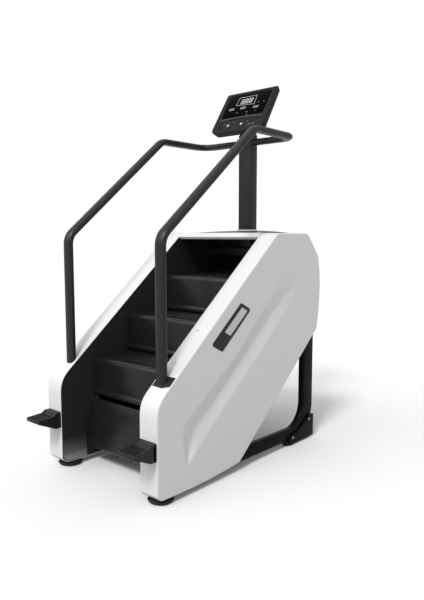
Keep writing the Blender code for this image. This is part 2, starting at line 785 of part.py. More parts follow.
def transport_wheel(word, side):
    centre = empty_at(f"wheel_axis_{word}", *WHEEL)
    high, low, bore = 0.3985, 0.3745, 0.0065
    profile = [
        (high, bore), (high, 0.014), (high - 0.003, 0.014), (high - 0.003, 0.024),
        (high, WHEEL_RADIUS - 0.003), (high - 0.004, WHEEL_RADIUS), (low + 0.004, WHEEL_RADIUS),
        (low, WHEEL_RADIUS - 0.003), (low, bore), (high, bore),
    ]
    made = turned(f"transport_wheel_{word}", mirrored(profile, side), (0, *WHEEL), "X", None, 24)
    attach(made, RUBBER, centre)


def rear_pad(word, side):
    tall = 0.0286
    made = box(f"rear_pad_{word}", (0.036, 0.056, tall),
               (side * (LEG_X[0] + LEG_X[1]) / 2, REAR_PAD_Y, tall / 2), bevel=0.003)
    attach(made, RUBBER)


def front_foot(word, side):
    centre = empty_at(f"foot_axis_{word}", FOOT.y, 0, side * FOOT.x)
    profile = [
        (0.075, 0), (0.075, 0.008), (0.0255, 0.008), (0.0255, 0.015), (0.0225, 0.018),
        (0.0215, 0.046), (0.018, 0.058), (0.0125, 0.0625), (0.007, 0.060), (0.0, 0.044), (0.0, 0),
    ]
    made = turned(f"front_foot_{word}", profile, (side * FOOT.x, FOOT.y, 0), "Z", None, 28)
    attach(made, RUBBER, centre)


def pedal(word, side):
    """A step plate on the front of a housing, for getting on and off."""
    shape = rounded([
        (-0.0006, 0.226, 0), (-0.034, 0.226, 0.012), (-PEDAL_REACH, 0.272, 0.006),
        (-PEDAL_REACH, 0.289, 0.006), (-0.045, 0.293, 0.03), (-0.020, 0.312, 0.008),
        (-0.0006, 0.312, 0),
    ], step_deg=25)
    made = plate(f"pedal_{word}", shape, side * 0.3035, side * 0.4135)
    dish = [Vector((-PEDAL_REACH + 0.010, 0.2868)), Vector((-0.046, 0.2890)),
            Vector((-0.046, 0.33)), Vector((-PEDAL_REACH + 0.010, 0.33))]
    cut(made, plate("dish", dish, side * 0.3095, side * 0.4075, cutters))
    for k in range(5):
        y = -PEDAL_REACH + 0.022 + 0.015 * k
        rib = box("rib", (0.094, 0.005, 0.006), (side * 0.3585, y, 0.2880), cutters)
        cut(made, rib, "UNION")
    attach(made, RUBBER)


def badge(word, side):
    """A slanted frame on the housing's side with a bright insert in its upper part."""
    frame_corners = [Vector((0.594, 0.882)), Vector((0.673, 0.841)),
                     Vector((0.446, 0.655)), Vector((0.367, 0.696))]
    insert_corners = [Vector((0.598, 0.865)), Vector((0.650, 0.838)),
                      Vector((0.508, 0.722)), Vector((0.456, 0.749))]
    centre = sum(insert_corners, Vector((0, 0))) / 4
    window = [centre + (corner - centre) * 1.012 for corner in insert_corners]
    made = plate(f"badge_frame_{word}", frame_corners, side * (HALF_WIDTH + GAP),
                 side * (HALF_WIDTH + 0.0028), holes=[window])
    attach(made, GLOSS_BLACK)
    made = plate(f"badge_insert_{word}", insert_corners, side * (HALF_WIDTH + GAP),
                 side * (HALF_WIDTH + 0.0020))
    attach(made, CHROME)


# Drive

def cross_tube(name, centre, lean):
    length, side = 2 * (INNER_X - 0.0006), 0.050
    made = box(name, (length, side, side), (0, *centre), tilt=lean, bevel=0.004)
    bore = side - 2 * TUBE_WALL
    cut(made, box("bore", (length + 0.02, bore, bore), (0, *centre), cutters, tilt=lean))
    attach(made, BLACK_PAINT)


def shaft_profile(right_end):
    """A shaft from its right end to its left, with a sprocket on each chain's line."""
    rim = CHAIN_RADIUS - CHAIN_HALF_DEPTH - 0.0022
    profile = [(right_end, 0), (right_end, SHAFT_RADIUS)]
    for side in (1, -1):
        high, low = side * CHAIN_X + 0.003, side * CHAIN_X - 0.003
        profile += [(high, SHAFT_RADIUS), (high, rim), (low, rim), (low, SHAFT_RADIUS)]
    return profile + [(-0.338, SHAFT_RADIUS), (-0.338, 0)]


def shafts(lower_turn, upper_turn):
    made = turned("lower_shaft", shaft_profile(0.338), (0, *LOWER_SHAFT))
    attach(made, STEEL, lower_turn)
    pulley = [
        (0.367, 0), (0.367, SHAFT_RADIUS), (PULLEY_X[1], SHAFT_RADIUS), (PULLEY_X[1], PULLEY_RADIUS),
        (PULLEY_X[0], PULLEY_RADIUS), (PULLEY_X[0], SHAFT_RADIUS),
    ]
    made = turned("upper_shaft", pulley + shaft_profile(0.338)[2:], (0, *UPPER_SHAFT))
    attach(made, STEEL, upper_turn)


def bearing(name, shaft, side):
    inner = SHAFT_RADIUS + 0.0005
    base = FRAME_X[1] + GAP
    profile = [
        (base + 0.022, inner), (base + 0.022, 0.028), (base + 0.008, 0.032), (base + 0.008, 0.046),
        (base, 0.046), (base, inner), (base + 0.022, inner),
    ]
    attach(turned(name, mirrored(profile, side), (0, *shaft), "X", None, 24), STEEL)


def chain(word, side):
    made = plate(f"chain_{word}", loop_outline(CHAIN_RADIUS + CHAIN_HALF_DEPTH),
                 side * (CHAIN_X - CHAIN_WIDE / 2), side * (CHAIN_X + CHAIN_WIDE / 2),
                 holes=[loop_outline(CHAIN_RADIUS - CHAIN_HALF_DEPTH)])
    attach(smooth(made), STEEL)


def flywheel(flywheel_turn):
    """The brake's flywheel on its stub axle, with the belt's small pulley."""
    profile = [
        (0.404, 0), (0.404, 0.012), (0.398, 0.012), (0.398, 0.100), (0.396, 0.104), (0.396, 0.130),
        (0.376, 0.130), (0.376, 0.104), (0.374, 0.100), (0.374, 0.012), (PULLEY_X[1], 0.012),
        (PULLEY_X[1], FLYWHEEL_PULLEY_RADIUS), (PULLEY_X[0], FLYWHEEL_PULLEY_RADIUS),
        (PULLEY_X[0], 0.012), (FRAME_X[0], 0.012), (FRAME_X[0], 0),
    ]
    attach(turned("flywheel", profile, (0, *FLYWHEEL), steps=32), STEEL, flywheel_turn)
    inner = belt_outline(UPPER_SHAFT, PULLEY_RADIUS + 0.0022, FLYWHEEL, FLYWHEEL_PULLEY_RADIUS + 0.0022)
    outer = belt_outline(UPPER_SHAFT, PULLEY_RADIUS + 0.0057, FLYWHEEL, FLYWHEEL_PULLEY_RADIUS + 0.0057)
    attach(smooth(plate("drive_belt", outer, PULLEY_X[0] + 0.002, PULLEY_X[1] - 0.002, holes=[inner])),
           RUBBER)


def brake_magnet():
    """A block that straddles the flywheel's rim without touching it."""
    centre_z = FLYWHEEL.y - 0.140
    made = box("brake_magnet", (0.042, 0.060, 0.050), (0.387, FLYWHEEL.x, centre_z))
    cut(made, box("slot", (0.029, 0.080, 0.034), (0.386, FLYWHEEL.x, centre_z + 0.021), cutters))
    attach(made, BLACK_PAINT)


def control_board():
    attach(box("control_board", (0.018, 0.180, 0.120), (-0.330, 0.650, 0.480), bevel=0.002), GREEN_BOARD)


clear_scene()
parts = new_collection("stair_climber")
cutters = new_collection("cutters")
back_y = max(place.x for place in housing_outline())
origin = bpy.data.objects.new("origin", None)
parts.objects.link(origin)
origin.location.y = (PEDAL_REACH - back_y) / 2  # the middle of the machine's length stands at Y = 0

staircase = empty_at("staircase", *pin_place(3))
return_run = empty_at("return_run", *pin_place(7))
lower_turn = empty_at("lower_turn", *LOWER_SHAFT)
upper_turn = empty_at("upper_turn", *UPPER_SHAFT)
flywheel_turn = empty_at("flywheel_turn", *FLYWHEEL)

STEP_GROUPS = {1: lower_turn, 5: upper_turn, 2: staircase, 3: staircase, 4: staircase}
for number in range(1, STEP_COUNT + 1):
    step(number, STEP_GROUPS.get(number, return_run))

for word, side in both_sides():
    side_cover(word, side)
    inner_skirt(word, side)
    side_plate(word, side)
    handrail(word, side)
    post_boot(word, side)
    rear_leg(word, side)
    corner_bracket(word, side)
    transport_wheel(word, side)
    rear_pad(word, side)
    front_foot(word, side)
    pedal(word, side)
    badge(word, side)
    chain(word, side)
    bearing(f"lower_bearing_{word}", LOWER_SHAFT, side)
    bearing(f"upper_bearing_{word}", UPPER_SHAFT, side)

covers()
power_inlet()
mast()
console()
shafts(lower_turn, upper_turn)
flywheel(flywheel_turn)
brake_magnet()
control_board()
middle = (LOWER_SHAFT + UPPER_SHAFT) / 2
slope_angle = math.atan2(RISE, RUN)
cross_tube("lower_cross_tube", middle - UP_THE_CHAIN * 0.170, slope_angle)
cross_tube("upper_cross_tube", middle + UP_THE_CHAIN * 0.170, slope_angle)
cross_tube("mast_cross_tube", Vector((MAST_Y, 1.1200)), 0)
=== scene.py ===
"""A stair climber in a plain studio: fine shells, steps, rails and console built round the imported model."""

import json
import math

import bmesh
import bpy
import numpy as np
from mathutils import Matrix, Vector
from mathutils.geometry import convex_hull_2d


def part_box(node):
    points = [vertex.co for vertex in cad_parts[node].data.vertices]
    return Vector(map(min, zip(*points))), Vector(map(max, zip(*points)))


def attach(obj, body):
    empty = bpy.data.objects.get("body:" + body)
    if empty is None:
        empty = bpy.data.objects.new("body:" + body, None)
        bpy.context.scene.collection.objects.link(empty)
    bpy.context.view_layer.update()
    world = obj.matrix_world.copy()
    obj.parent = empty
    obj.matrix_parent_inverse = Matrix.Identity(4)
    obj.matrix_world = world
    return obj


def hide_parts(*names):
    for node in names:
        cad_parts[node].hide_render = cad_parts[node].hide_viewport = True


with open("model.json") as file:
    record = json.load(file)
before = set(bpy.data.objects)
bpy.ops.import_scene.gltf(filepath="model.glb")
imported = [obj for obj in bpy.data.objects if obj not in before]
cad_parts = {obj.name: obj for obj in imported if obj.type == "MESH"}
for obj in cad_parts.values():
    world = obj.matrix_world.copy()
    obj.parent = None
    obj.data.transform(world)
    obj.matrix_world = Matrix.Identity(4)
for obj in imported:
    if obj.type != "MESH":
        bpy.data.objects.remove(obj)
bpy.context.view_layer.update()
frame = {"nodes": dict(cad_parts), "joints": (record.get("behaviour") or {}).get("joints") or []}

# Places and sizes read from the frame

SHELL_LOW, SHELL_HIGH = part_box("side_cover_right")
FRONT = SHELL_LOW.y
BASE, TOP = SHELL_LOW.z, SHELL_HIGH.z
INNER, OUTER = SHELL_LOW.x, SHELL_HIGH.x
JOINTS = {joint["name"]: joint for joint in frame["joints"]}
SIDES = (("right", 1), ("left", -1))

# Driving sizes that the frame's boxes don't give

SLOPE = 0.83  # rise over run of the housings
EDGE_RISE = 0.478  # where the housings' slope meets their front plane
RUN, RISE = 0.25, 0.208
CHAIN_RADIUS = 0.13
FIRST_PIN_TRAVEL = -0.039
PIN_TO_TREAD, PIN_TO_RISER = 0.028, 0.008
TREAD_THICK, RISER_THICK = 0.012, 0.010
NOSE_RADIUS = 0.026
BEAD_HEIGHT, BEAD_REACH = 0.033, 0.010
RAIL_X, RAIL_WIDE, RAIL_DEEP = 0.344, 0.060, 0.038
RAIL_Y = FRONT + 0.100
RAIL_KNEE_Z, RAIL_TOP_Z, RAIL_BEND = 1.2155, 1.777, 0.085
RAIL_TOP_Y = FRONT + 0.785
CONSOLE_LEAN = math.radians(33.7)
CONSOLE_HALF, CONSOLE_BOTTOM, CONSOLE_TALL, CONSOLE_THICK = 0.194, -0.006, 0.315, 0.045

# Camera, lights and floor

LENS = 35.32
CAMERA_PLACE = (2.2424, FRONT - 1.7341, 1.2254)
CAMERA_DOWN, CAMERA_TURN = 6.32, 41.0  # degrees
ROOM_LIGHT = 0.72
# Name, strength, width in degrees and the way towards each light
LIGHTS = (("key", 0.9, 50, (-0.34, -0.66, 0.66)), ("side_key", 2.3, 14, (0.17, -0.62, 0.76)))
FLOOR_RADIUS = 14.0
FLOOR_SHOWN, FLOOR_BOUNCE = 0.72, 0.47


def add(thing):
    bpy.context.scene.collection.objects.link(thing)
    return thing


def camera():
    data = bpy.data.cameras.new("camera")
    data.lens = LENS
    made = add(bpy.data.objects.new("camera", data))
    made.location = CAMERA_PLACE
    made.rotation_euler = (math.radians(90 - CAMERA_DOWN), 0, math.radians(CAMERA_TURN))
    bpy.context.scene.camera = made


def camera_mix(tree, elsewhere, shown, surface_input):
    """Shows one shader to the camera and gives another to every other ray."""
    seen = tree.nodes.new("ShaderNodeLightPath").outputs["Is Camera Ray"]
    mixed = linked(tree, "ShaderNodeMixShader", Fac=seen)
    tree.links.new(elsewhere, mixed.inputs[1])
    tree.links.new(shown, mixed.inputs[2])
    tree.links.new(mixed.outputs["Shader"], surface_input)


def studio():
    """An even white room, a broad light from high in front and a narrow one that grazes the side."""
    world = bpy.data.worlds.new("studio")
    bpy.context.scene.world = world
    world.use_nodes = True
    tree = world.node_tree
    room = tree.nodes["Background"]
    room.inputs["Strength"].default_value = ROOM_LIGHT
    backdrop = tree.nodes.new("ShaderNodeBackground")
    for sky in (room, backdrop):
        sky.inputs["Color"].default_value = (1, 1, 1, 1)
    camera_mix(tree, room.outputs["Background"], backdrop.outputs["Background"],
               tree.nodes["World Output"].inputs["Surface"])
    for name, strength, width, way in LIGHTS:
        data = bpy.data.lights.new(name, "SUN")
        data.energy = strength
        data.angle = math.radians(width)
        light = add(bpy.data.objects.new(name, data))
        light.rotation_euler = Vector(way).to_track_quat("Z", "Y").to_euler()
    bpy.context.scene.view_settings.view_transform = "Standard"


def floor():
    """A round floor that throws less light back up at the machine than it shows."""
    shape = bmesh.new()
    bmesh.ops.create_circle(shape, cap_ends=True, radius=FLOOR_RADIUS, segments=96)
    mesh = bpy.data.meshes.new("floor")
    shape.to_mesh(mesh)
    shape.free()
    made = add(bpy.data.objects.new("floor", mesh))
    paint = surface("floor_paint", (FLOOR_SHOWN, FLOOR_SHOWN, FLOOR_SHOWN), 0.7, mottle=0.01)
    mesh.materials.append(paint)
    tree = paint.node_tree
    dim = linked(tree, "ShaderNodeBsdfDiffuse", Color=(FLOOR_BOUNCE, FLOOR_BOUNCE, FLOOR_BOUNCE, 1))
    camera_mix(tree, dim.outputs["BSDF"], tree.nodes["Principled BSDF"].outputs["BSDF"],
               tree.nodes["Material Output"].inputs["Surface"])


# Materials

def linked(tree, kind, **sockets):
    """A node of this kind, with its sockets set from values or from other nodes' outputs."""
    node = tree.nodes.new(kind)
    for name, value in sockets.items():
        socket = node.inputs[name.replace("_", " ")]
        if isinstance(value, bpy.types.NodeSocket):
            tree.links.new(value, socket)
        else:
            socket.default_value = value
    return node


def ranged(tree, value, low, high):
    """A noise's middle values spread between low and high."""
    node = linked(tree, "ShaderNodeMapRange", Value=value)
    for name, setting in (("From Min", 0.3), ("From Max", 0.7), ("To Min", low), ("To Max", high)):
        node.inputs[name].default_value = setting
    return node.outputs["Result"]


def surface(name, colour, roughness, metallic=0.0, mottle=0.04, grain=900.0, bump=0.0,
            vary=0.04, cloud=14.0, coat=0.0, coat_roughness=0.1, specular=0.5, painted_glow=0.0):
    """A painted or moulded finish: fine grain in colour and height, and broad changes of sheen, with an
    optional faint glow that is painted light.
    """
    made = bpy.data.materials.new(name)
    made.use_nodes = True
    tree = made.node_tree
    shader = tree.nodes["Principled BSDF"]
    shader.inputs["Metallic"].default_value = metallic
    shader.inputs["Coat Weight"].default_value = coat
    shader.inputs["Coat Roughness"].default_value = coat_roughness
    shader.inputs["Specular IOR Level"].default_value = specular
    where = tree.nodes.new("ShaderNodeTexCoord").outputs["Object"]
    fine = linked(tree, "ShaderNodeTexNoise", Vector=where, Scale=grain, Detail=3.0)
    broad = linked(tree, "ShaderNodeTexNoise", Vector=where, Scale=cloud, Detail=4.0)
    shade = ranged(tree, fine.outputs["Fac"], 1 - mottle, 1 + mottle)
    tint = tree.nodes.new("ShaderNodeVectorMath")
    tint.operation = "SCALE"
    tint.inputs[0].default_value = colour
    tree.links.new(shade, tint.inputs["Scale"])
    tree.links.new(tint.outputs["Vector"], shader.inputs["Base Color"])
    sheen = ranged(tree, broad.outputs["Fac"], max(0.02, roughness - vary), roughness + vary)
    tree.links.new(sheen, shader.inputs["Roughness"])
    if bump:
        relief = linked(tree, "ShaderNodeBump", Height=fine.outputs["Fac"], Strength=0.35,
                        Distance=bump)
        tree.links.new(relief.outputs["Normal"], shader.inputs["Normal"])
    # The glow is painted light: the surface gives off light of its own colour though it is no lamp.
    if painted_glow:
        shader.inputs["Emission Color"].default_value = (*colour, 1)
        shader.inputs["Emission Strength"].default_value = painted_glow
    return made


SILVER = surface("silver_paint", (0.62, 0.625, 0.615), 0.40, metallic=0.08, mottle=0.02,
                 grain=1500, bump=0.00003, coat=0.12, coat_roughness=0.12, specular=0.3)
DARK_COVER = surface("dark_grey_plastic", (0.045, 0.045, 0.046), 0.42, bump=0.00006, specular=0.15)
SKIRT_GLOSS = surface("gloss_skirt", (0.022, 0.022, 0.023), 0.20, vary=0.02, specular=0.5)
POWDER = surface("dark_powder_coat", (0.012, 0.012, 0.0125), 0.36, mottle=0.10, grain=700,
                 bump=0.00008, specular=0.32)
LEG_PAINT = surface("black_leg_paint", (0.0035, 0.0035, 0.0038), 0.33, mottle=0.10, grain=700,
                    bump=0.00008, specular=0.07)
STEP_PLASTIC = surface("step_plastic", (0.008, 0.008, 0.0085), 0.27, mottle=0.03, grain=800,
                       bump=0.00001, vary=0.01, specular=0.34)
GLOSS = surface("gloss_black", (0.006, 0.006, 0.007), 0.10, mottle=0.05, vary=0.02, specular=0.4)
MATTE = surface("moulded_black", (0.011, 0.011, 0.0115), 0.42, mottle=0.08, bump=0.00006, specular=0.3)
RUBBER = surface("rubber", (0.010, 0.010, 0.010), 0.68, mottle=0.12, grain=500, bump=0.0002,
                 specular=0.3)
STEEL = surface("machined_steel", (0.48, 0.48, 0.48), 0.32, metallic=1.0, grain=1200, bump=0.00003)
COLLAR_GREY = surface("satin_collar", (0.55, 0.55, 0.55), 0.25, metallic=0.6)
BOARD = surface("solder_mask", (0.015, 0.10, 0.04), 0.35, mottle=0.15, grain=160)
BEZEL = surface("console_plastic", (0.010, 0.010, 0.0105), 0.36, mottle=0.06, bump=0.00004,
                specular=0.10)
GLASS = surface("display_glass", (0.001, 0.001, 0.001), 0.06, mottle=0.02, vary=0.02, specular=0.02)
LIP_GREY = surface("console_lip_grey", (0.045, 0.045, 0.047), 0.40, bump=0.00003, specular=0.2)
# The console's print glows faintly, painted light that brightens it.
PRINT_PAINTED_GLOW = surface("display_print_painted_glow", (0.30, 0.30, 0.31), 0.4, painted_glow=0.12, specular=0.2)
DIM_PRINT_PAINTED_GLOW = surface("display_dim_print_painted_glow", (0.12, 0.12, 0.125), 0.4, painted_glow=0.05, specular=0.2)
BUTTON = surface("light_button", (0.34, 0.345, 0.355), 0.3)
MIRROR = surface("badge_mirror", (0.62, 0.62, 0.60), 0.14, metallic=1.0, mottle=0.02, vary=0.05)


def toe_painted_shade():
    """Silver at the floor that darkens with height, all painted light: the floor's reflection at the foot and
    shade above.
    """
    made = surface("kick_panel_painted_shade", (0.3, 0.3, 0.3), 0.3, mottle=0.02)
    tree = made.node_tree
    place = tree.nodes.new("ShaderNodeTexCoord").outputs["Object"]
    height = linked(tree, "ShaderNodeSeparateXYZ", Vector=place).outputs["Z"]
    fade = linked(tree, "ShaderNodeMapRange", Value=height)
    for name, setting in (("From Min", BASE), ("From Max", BASE + 0.135)):
        fade.inputs[name].default_value = setting
    # The ramp paints light and shade: bright like the floor's reflection low down, dark like shade higher up.
    ramp = linked(tree, "ShaderNodeValToRGB", Fac=fade.outputs["Result"])
    first, last = ramp.color_ramp.elements
    first.color, last.color = (0.36, 0.36, 0.355, 1), (0.018, 0.018, 0.019, 1)
    middle = ramp.color_ramp.elements.new(0.4)
    middle.color = (0.10, 0.10, 0.098, 1)
    tree.links.new(ramp.outputs["Color"], tree.nodes["Principled BSDF"].inputs["Base Color"])
    return made


TOE_PAINTED_SHADE = toe_painted_shade()


# Outlines

SQUARE = ((-1, -1), (1, -1), (1, 1), (-1, 1))


def rounded(corners, step_deg=6):
    """A closed outline from (u, v, radius) corners, with each corner turned as an arc."""
    outline = []
    count = len(corners)
    for i, (u, v, radius) in enumerate(corners):
        here = Vector((u, v))
        before = (Vector(corners[i - 1][:2]) - here).normalized()
        after = (Vector(corners[(i + 1) % count][:2]) - here).normalized()
        if radius == 0:
            outline.append(here)
            continue
        half = before.angle(after) / 2
        centre = here + (before + after).normalized() * radius / math.sin(half)
        first = here + before * radius / math.tan(half) - centre
        last = here + after * radius / math.tan(half) - centre
        turn = math.atan2(first.x * last.y - first.y * last.x, first.dot(last))
        steps = max(1, round(abs(math.degrees(turn)) / step_deg))
        for k in range(steps + 1):
            angle = turn * k / steps
            outline.append(centre + Vector((
                first.x * math.cos(angle) - first.y * math.sin(angle),
                first.x * math.sin(angle) + first.y * math.cos(angle),
            )))
    return outline


def rectangle(half, low, high, low_radius, high_radius):
    """Corners for rounded, from -half to half and from low to high."""
    return [(-half, low, low_radius), (-half, high, high_radius),
            (half, high, high_radius), (half, low, low_radius)]


def hull_outline(node, x):
    """The convex outline in Y and Z of a CAD node's face at x, with its facets rounded off."""
    places = [vertex.co for vertex in frame["nodes"][node].data.vertices]
    flat = [Vector((co.y, co.z)) for co in places if abs(co.x - x) < 1e-4]
    ring = [flat[i] for i in convex_hull_2d(flat)]
    ring = [here for i, here in enumerate(ring) if (here - ring[i - 1]).length > 1e-4]
    corners = []
    for i, here in enumerate(ring):
        before, after = ring[i - 1] - here, ring[(i + 1) % len(ring)] - here
        turn = math.pi - before.angle(after)
        reach = 0.49 * min(before.length, after.length)
        radius = reach / math.tan(turn / 2) if turn > 0.01 else 0
        corners.append((here.x, here.y, radius))
    return rounded(corners, 4)


def inset_ring(ring, inset):
    """A closed ring of places moved inwards (or outwards, below zero), whichever way it runs."""
    points = np.array([tuple(place) for place in ring])
    ahead, behind = np.roll(points, -1, 0), np.roll(points, 1, 0)
    area = np.sum(points[:, 0] * ahead[:, 1] - ahead[:, 0] * points[:, 1])
    tangent = ahead - behind
    tangent /= np.linalg.norm(tangent, axis=1)[:, None]
    inwards = np.stack([-tangent[:, 1], tangent[:, 0]], 1) * (1 if area > 0 else -1)
    return points + inwards * inset


# Meshes

SIDE_PLANE = Matrix(((0, 0, 1, 0), (1, 0, 0, 0), (0, 1, 0, 0), (0, 0, 0, 1)))


def finish(made, stuff, stands_for=(), body="frame", angle=32):
    """Gives a piece its material and its body, and hides the CAD nodes it stands for."""
    mesh = made.data
    mesh.materials.clear()
    mesh.materials.append(stuff)
    mesh.shade_smooth()
    mesh.set_sharp_from_angle(angle=math.radians(angle))
    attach(made, body)
    if stands_for:
        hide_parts(*stands_for)
    return made


def mesh_piece(name, verts, faces):
    mesh = bpy.data.meshes.new(name)
    mesh.from_pydata([tuple(v) for v in verts], [], faces)
    shape = bmesh.new()
    shape.from_mesh(mesh)
    bmesh.ops.recalc_face_normals(shape, faces=shape.faces)
    shape.to_mesh(mesh)
    shape.free()
    return add(bpy.data.objects.new(name, mesh))


def skin(rings):
    """Faces between each closed ring of vertex numbers and the next; a ring can be a single point."""
    faces = []
    for first, second in zip(rings, rings[1:]):
        for k in range(max(len(first), len(second))):
            corners = [ring[n % len(ring)] for ring, n in (
                (first, k), (first, k + 1), (second, k + 1), (second, k))]
            faces.append(tuple(dict.fromkeys(corners)))
    return faces


def grid_faces(rows, wide):
    """Faces of a grid of vertices numbered row by row."""
    return [(corner, corner + 1, corner + wide + 1, corner + wide)
            for row in range(rows - 1) for corner in range(row * wide, (row + 1) * wide - 1)]


def prism(name, outline, low, high, matrix=SIDE_PLANE, bevel=0.0, segments=3):
    """A plate cut to an outline in its local X and Y, from low to high along its local Z."""
    count = len(outline)
    levels = sorted((low, high))
    verts = [matrix @ Vector((place[0], place[1], level)) for level in levels for place in outline]
    rings = [tuple(range(count)), tuple(range(count, 2 * count))]
    made = mesh_piece(name, verts, rings + skin(rings))
    if bevel:
        round_edges(made, bevel, segments)
    return made


def apply_modifiers(made):
    bpy.context.view_layer.update()
    graph = bpy.context.evaluated_depsgraph_get()
    mesh = bpy.data.meshes.new_from_object(made.evaluated_get(graph))
    made.modifiers.clear()
    made.data = mesh
    return made


def round_edges(made, width, segments=3, angle=40):
    rounding = made.modifiers.new("edges", "BEVEL")
    rounding.width = width
    rounding.segments = segments
    rounding.limit_method = "ANGLE"
    rounding.angle_limit = math.radians(angle)
    return apply_modifiers(made)


def block(name, size, centre, bevel, matrix=Matrix.Identity(4), segments=3):
    """A box with rounded edges, centred on a place in the matrix's own axes."""
    half_x, half_y, half_z = (side / 2 for side in size)
    outline = [(centre[0] + u * half_x, centre[1] + v * half_y) for u, v in SQUARE]
    return prism(name, outline, centre[2] - half_z, centre[2] + half_z, matrix, bevel, segments)


def lathe(name, profile, matrix, steps=56):
    """A turned piece: profile is (distance along local Z, radius), closed on itself or ended at radius 0."""
    verts, rings = [], []
    for along, radius in profile:
        if radius < 1e-6:
            rings.append([len(verts)])
            verts.append(matrix @ Vector((0, 0, along)))
            continue
        rings.append(list(range(len(verts), len(verts) + steps)))
        for k in range(steps):
            angle = math.tau * k / steps
            verts.append(matrix @ Vector((radius * math.cos(angle), radius * math.sin(angle), along)))
    return mesh_piece(name, verts, skin(rings))


def sweep(name, path, section, across):
    """A tube along a path, whose section's first axis starts as across and never twists."""
    verts, rings = [], []
    across = Vector(across)
    for i, here in enumerate(path):
        ahead, behind = path[min(i + 1, len(path) - 1)], path[max(i - 1, 0)]
        way = (ahead - behind).normalized()
        across = (across - way * across.dot(way)).normalized()
        over = way.cross(across)
        rings.append(tuple(range(len(verts), len(verts) + len(section))))
        verts += [here + across * u + over * v for u, v in section]
    return mesh_piece(name, verts, skin(rings) + [rings[0], rings[-1]])


def loop(name, path, wide, tall, out):
    """A low rounded bead along a closed path, standing out of a flat face."""
    count, sides = len(path), 6
    out = Vector(out)
    verts = []
    for i, here in enumerate(path):
        way = (path[(i + 1) % count] - path[i - 1]).normalized()
        across = way.cross(out)
        for k in range(sides):
            angle = math.pi * k / (sides - 1)
            verts.append(here + across * math.cos(angle) * wide / 2 + out * math.sin(angle) * tall)
    rings = [range(i * sides, (i + 1) * sides) for i in range(count)]
    return mesh_piece(name, verts, skin(rings + rings[:1]))


def bent_path(corners, radius, step_deg=3):
    """Points along straight runs between corners, with each inner corner turned as an arc."""
    places = [Vector(corners[0])]
    for before, here, after in zip(corners, corners[1:], corners[2:]):
        here = Vector(here)
        back = (Vector(before) - here).normalized()
        ahead = (Vector(after) - here).normalized()
        half = back.angle(ahead) / 2
        centre = here + (back + ahead).normalized() * radius / math.sin(half)
        first = here + back * radius / math.tan(half) - centre
        last = here + ahead * radius / math.tan(half) - centre
        turn = first.angle(last)
        across = (last - first * math.cos(turn)) / math.sin(turn)
        steps = max(2, round(math.degrees(turn) / step_deg))
        for k in range(steps + 1):
            angle = turn * k / steps
            places.append(centre + first * math.cos(angle) + across * math.sin(angle))
    places.append(Vector(corners[-1]))
    return places


def walled(made, thick, offset=-1):
    """Gives an open sheet a wall, inwards when offset is -1."""
    wall = made.modifiers.new("wall", "SOLIDIFY")
    wall.thickness = thick
    wall.offset = offset
    return apply_modifiers(made)


def cut(thing, cutter):
    boolean = thing.modifiers.new("cut", "BOOLEAN")
    boolean.operation = "DIFFERENCE"
    boolean.solver = "EXACT"
    boolean.object = cutter
    apply_modifiers(thing)
    bpy.data.objects.remove(cutter, do_unlink=True)
    return thing


def joined(name, pieces):
    """Several meshes made one piece."""
    shape = bmesh.new()
    for piece in pieces:
        shape.from_mesh(piece.data)
        bpy.data.objects.remove(piece, do_unlink=True)
    mesh = bpy.data.meshes.new(name)
    shape.to_mesh(mesh)
    shape.free()
    return add(bpy.data.objects.new(name, mesh))


def axis_matrix(place, way):
    """Local Z along way, from place."""
    return Matrix.Translation(place) @ Vector(way).to_track_quat("Z", "Y").to_matrix().to_4x4()


def bolt(name, place, way, radius=0.008, stands=0.004):
    """A socket-head bolt: a washer, a rounded head and its hexagon socket."""
    matrix = axis_matrix(place, way)
    washer = lathe("washer", [(0, 0), (0, radius * 1.5), (0.0012, radius * 1.5), (0.0016, radius * 1.4),
                              (0.0016, 0)], matrix, 32)
    socket = radius * 0.45
    head = lathe("head", [(0.001, 0), (0.001, radius), (stands * 0.6, radius), (stands, radius * 0.7),
                          (stands, socket), (stands * 0.4, socket), (stands * 0.4, 0)], matrix, 24)
    return joined(name, [washer, head])


# Side shells

EDGE_ROUND = 0.007
SHELL_WALL = 0.0025
SHELL_ROWS, SHELL_COLUMNS = 150, 140
CHANNEL_DEEP = 0.016
CHANNEL_END_LEAN, CHANNEL_ENTRY = 0.503, 0.030
CHANNEL_FADE_END, CHANNEL_FADE = 1.50, 0.42
# The channel's lines as (distance along the slope, offset over it), from the front plane's foot
CHANNEL_UPPER = ((0.328, 0.158), (0.548, 0.143), (0.815, 0.118), (1.334, 0.150), (1.600, 0.150))
CHANNEL_DEEPEST = ((0.251, 0.005), (0.400, 0.076), (0.560, 0.060), (0.884, 0.062), (1.275, 0.054),
                   (1.454, 0.030), (1.600, 0.020))
CHANNEL_LOWER = ((0.272, -0.007), (0.610, -0.007), (0.933, -0.018), (1.263, -0.016), (1.600, -0.010))


def channel_depth(y, z):
    """How far the outer face is pressed in, for arrays of Y and Z."""
    lean = math.atan(SLOPE)
    along = (y - FRONT) * math.cos(lean) + z * math.sin(lean)
    over = z * math.cos(lean) - (y - FRONT) * math.sin(lean)
    upper, deepest, lower = (
        np.interp(along, *zip(*line)) for line in (CHANNEL_UPPER, CHANNEL_DEEPEST, CHANNEL_LOWER)
    )
    below = (over - lower) / np.maximum(deepest - lower, 0.004)
    share = np.minimum((upper - over) / (upper - deepest), below)
    start_along, start_over = CHANNEL_DEEPEST[0]
    entry = (along - start_along - (over - start_over) * CHANNEL_END_LEAN) / CHANNEL_ENTRY
    fade = (CHANNEL_FADE_END - along) / CHANNEL_FADE
    return CHANNEL_DEEP * np.clip(share, 0, 1) * np.clip(entry, 0, 1) * np.clip(fade, 0, 1)


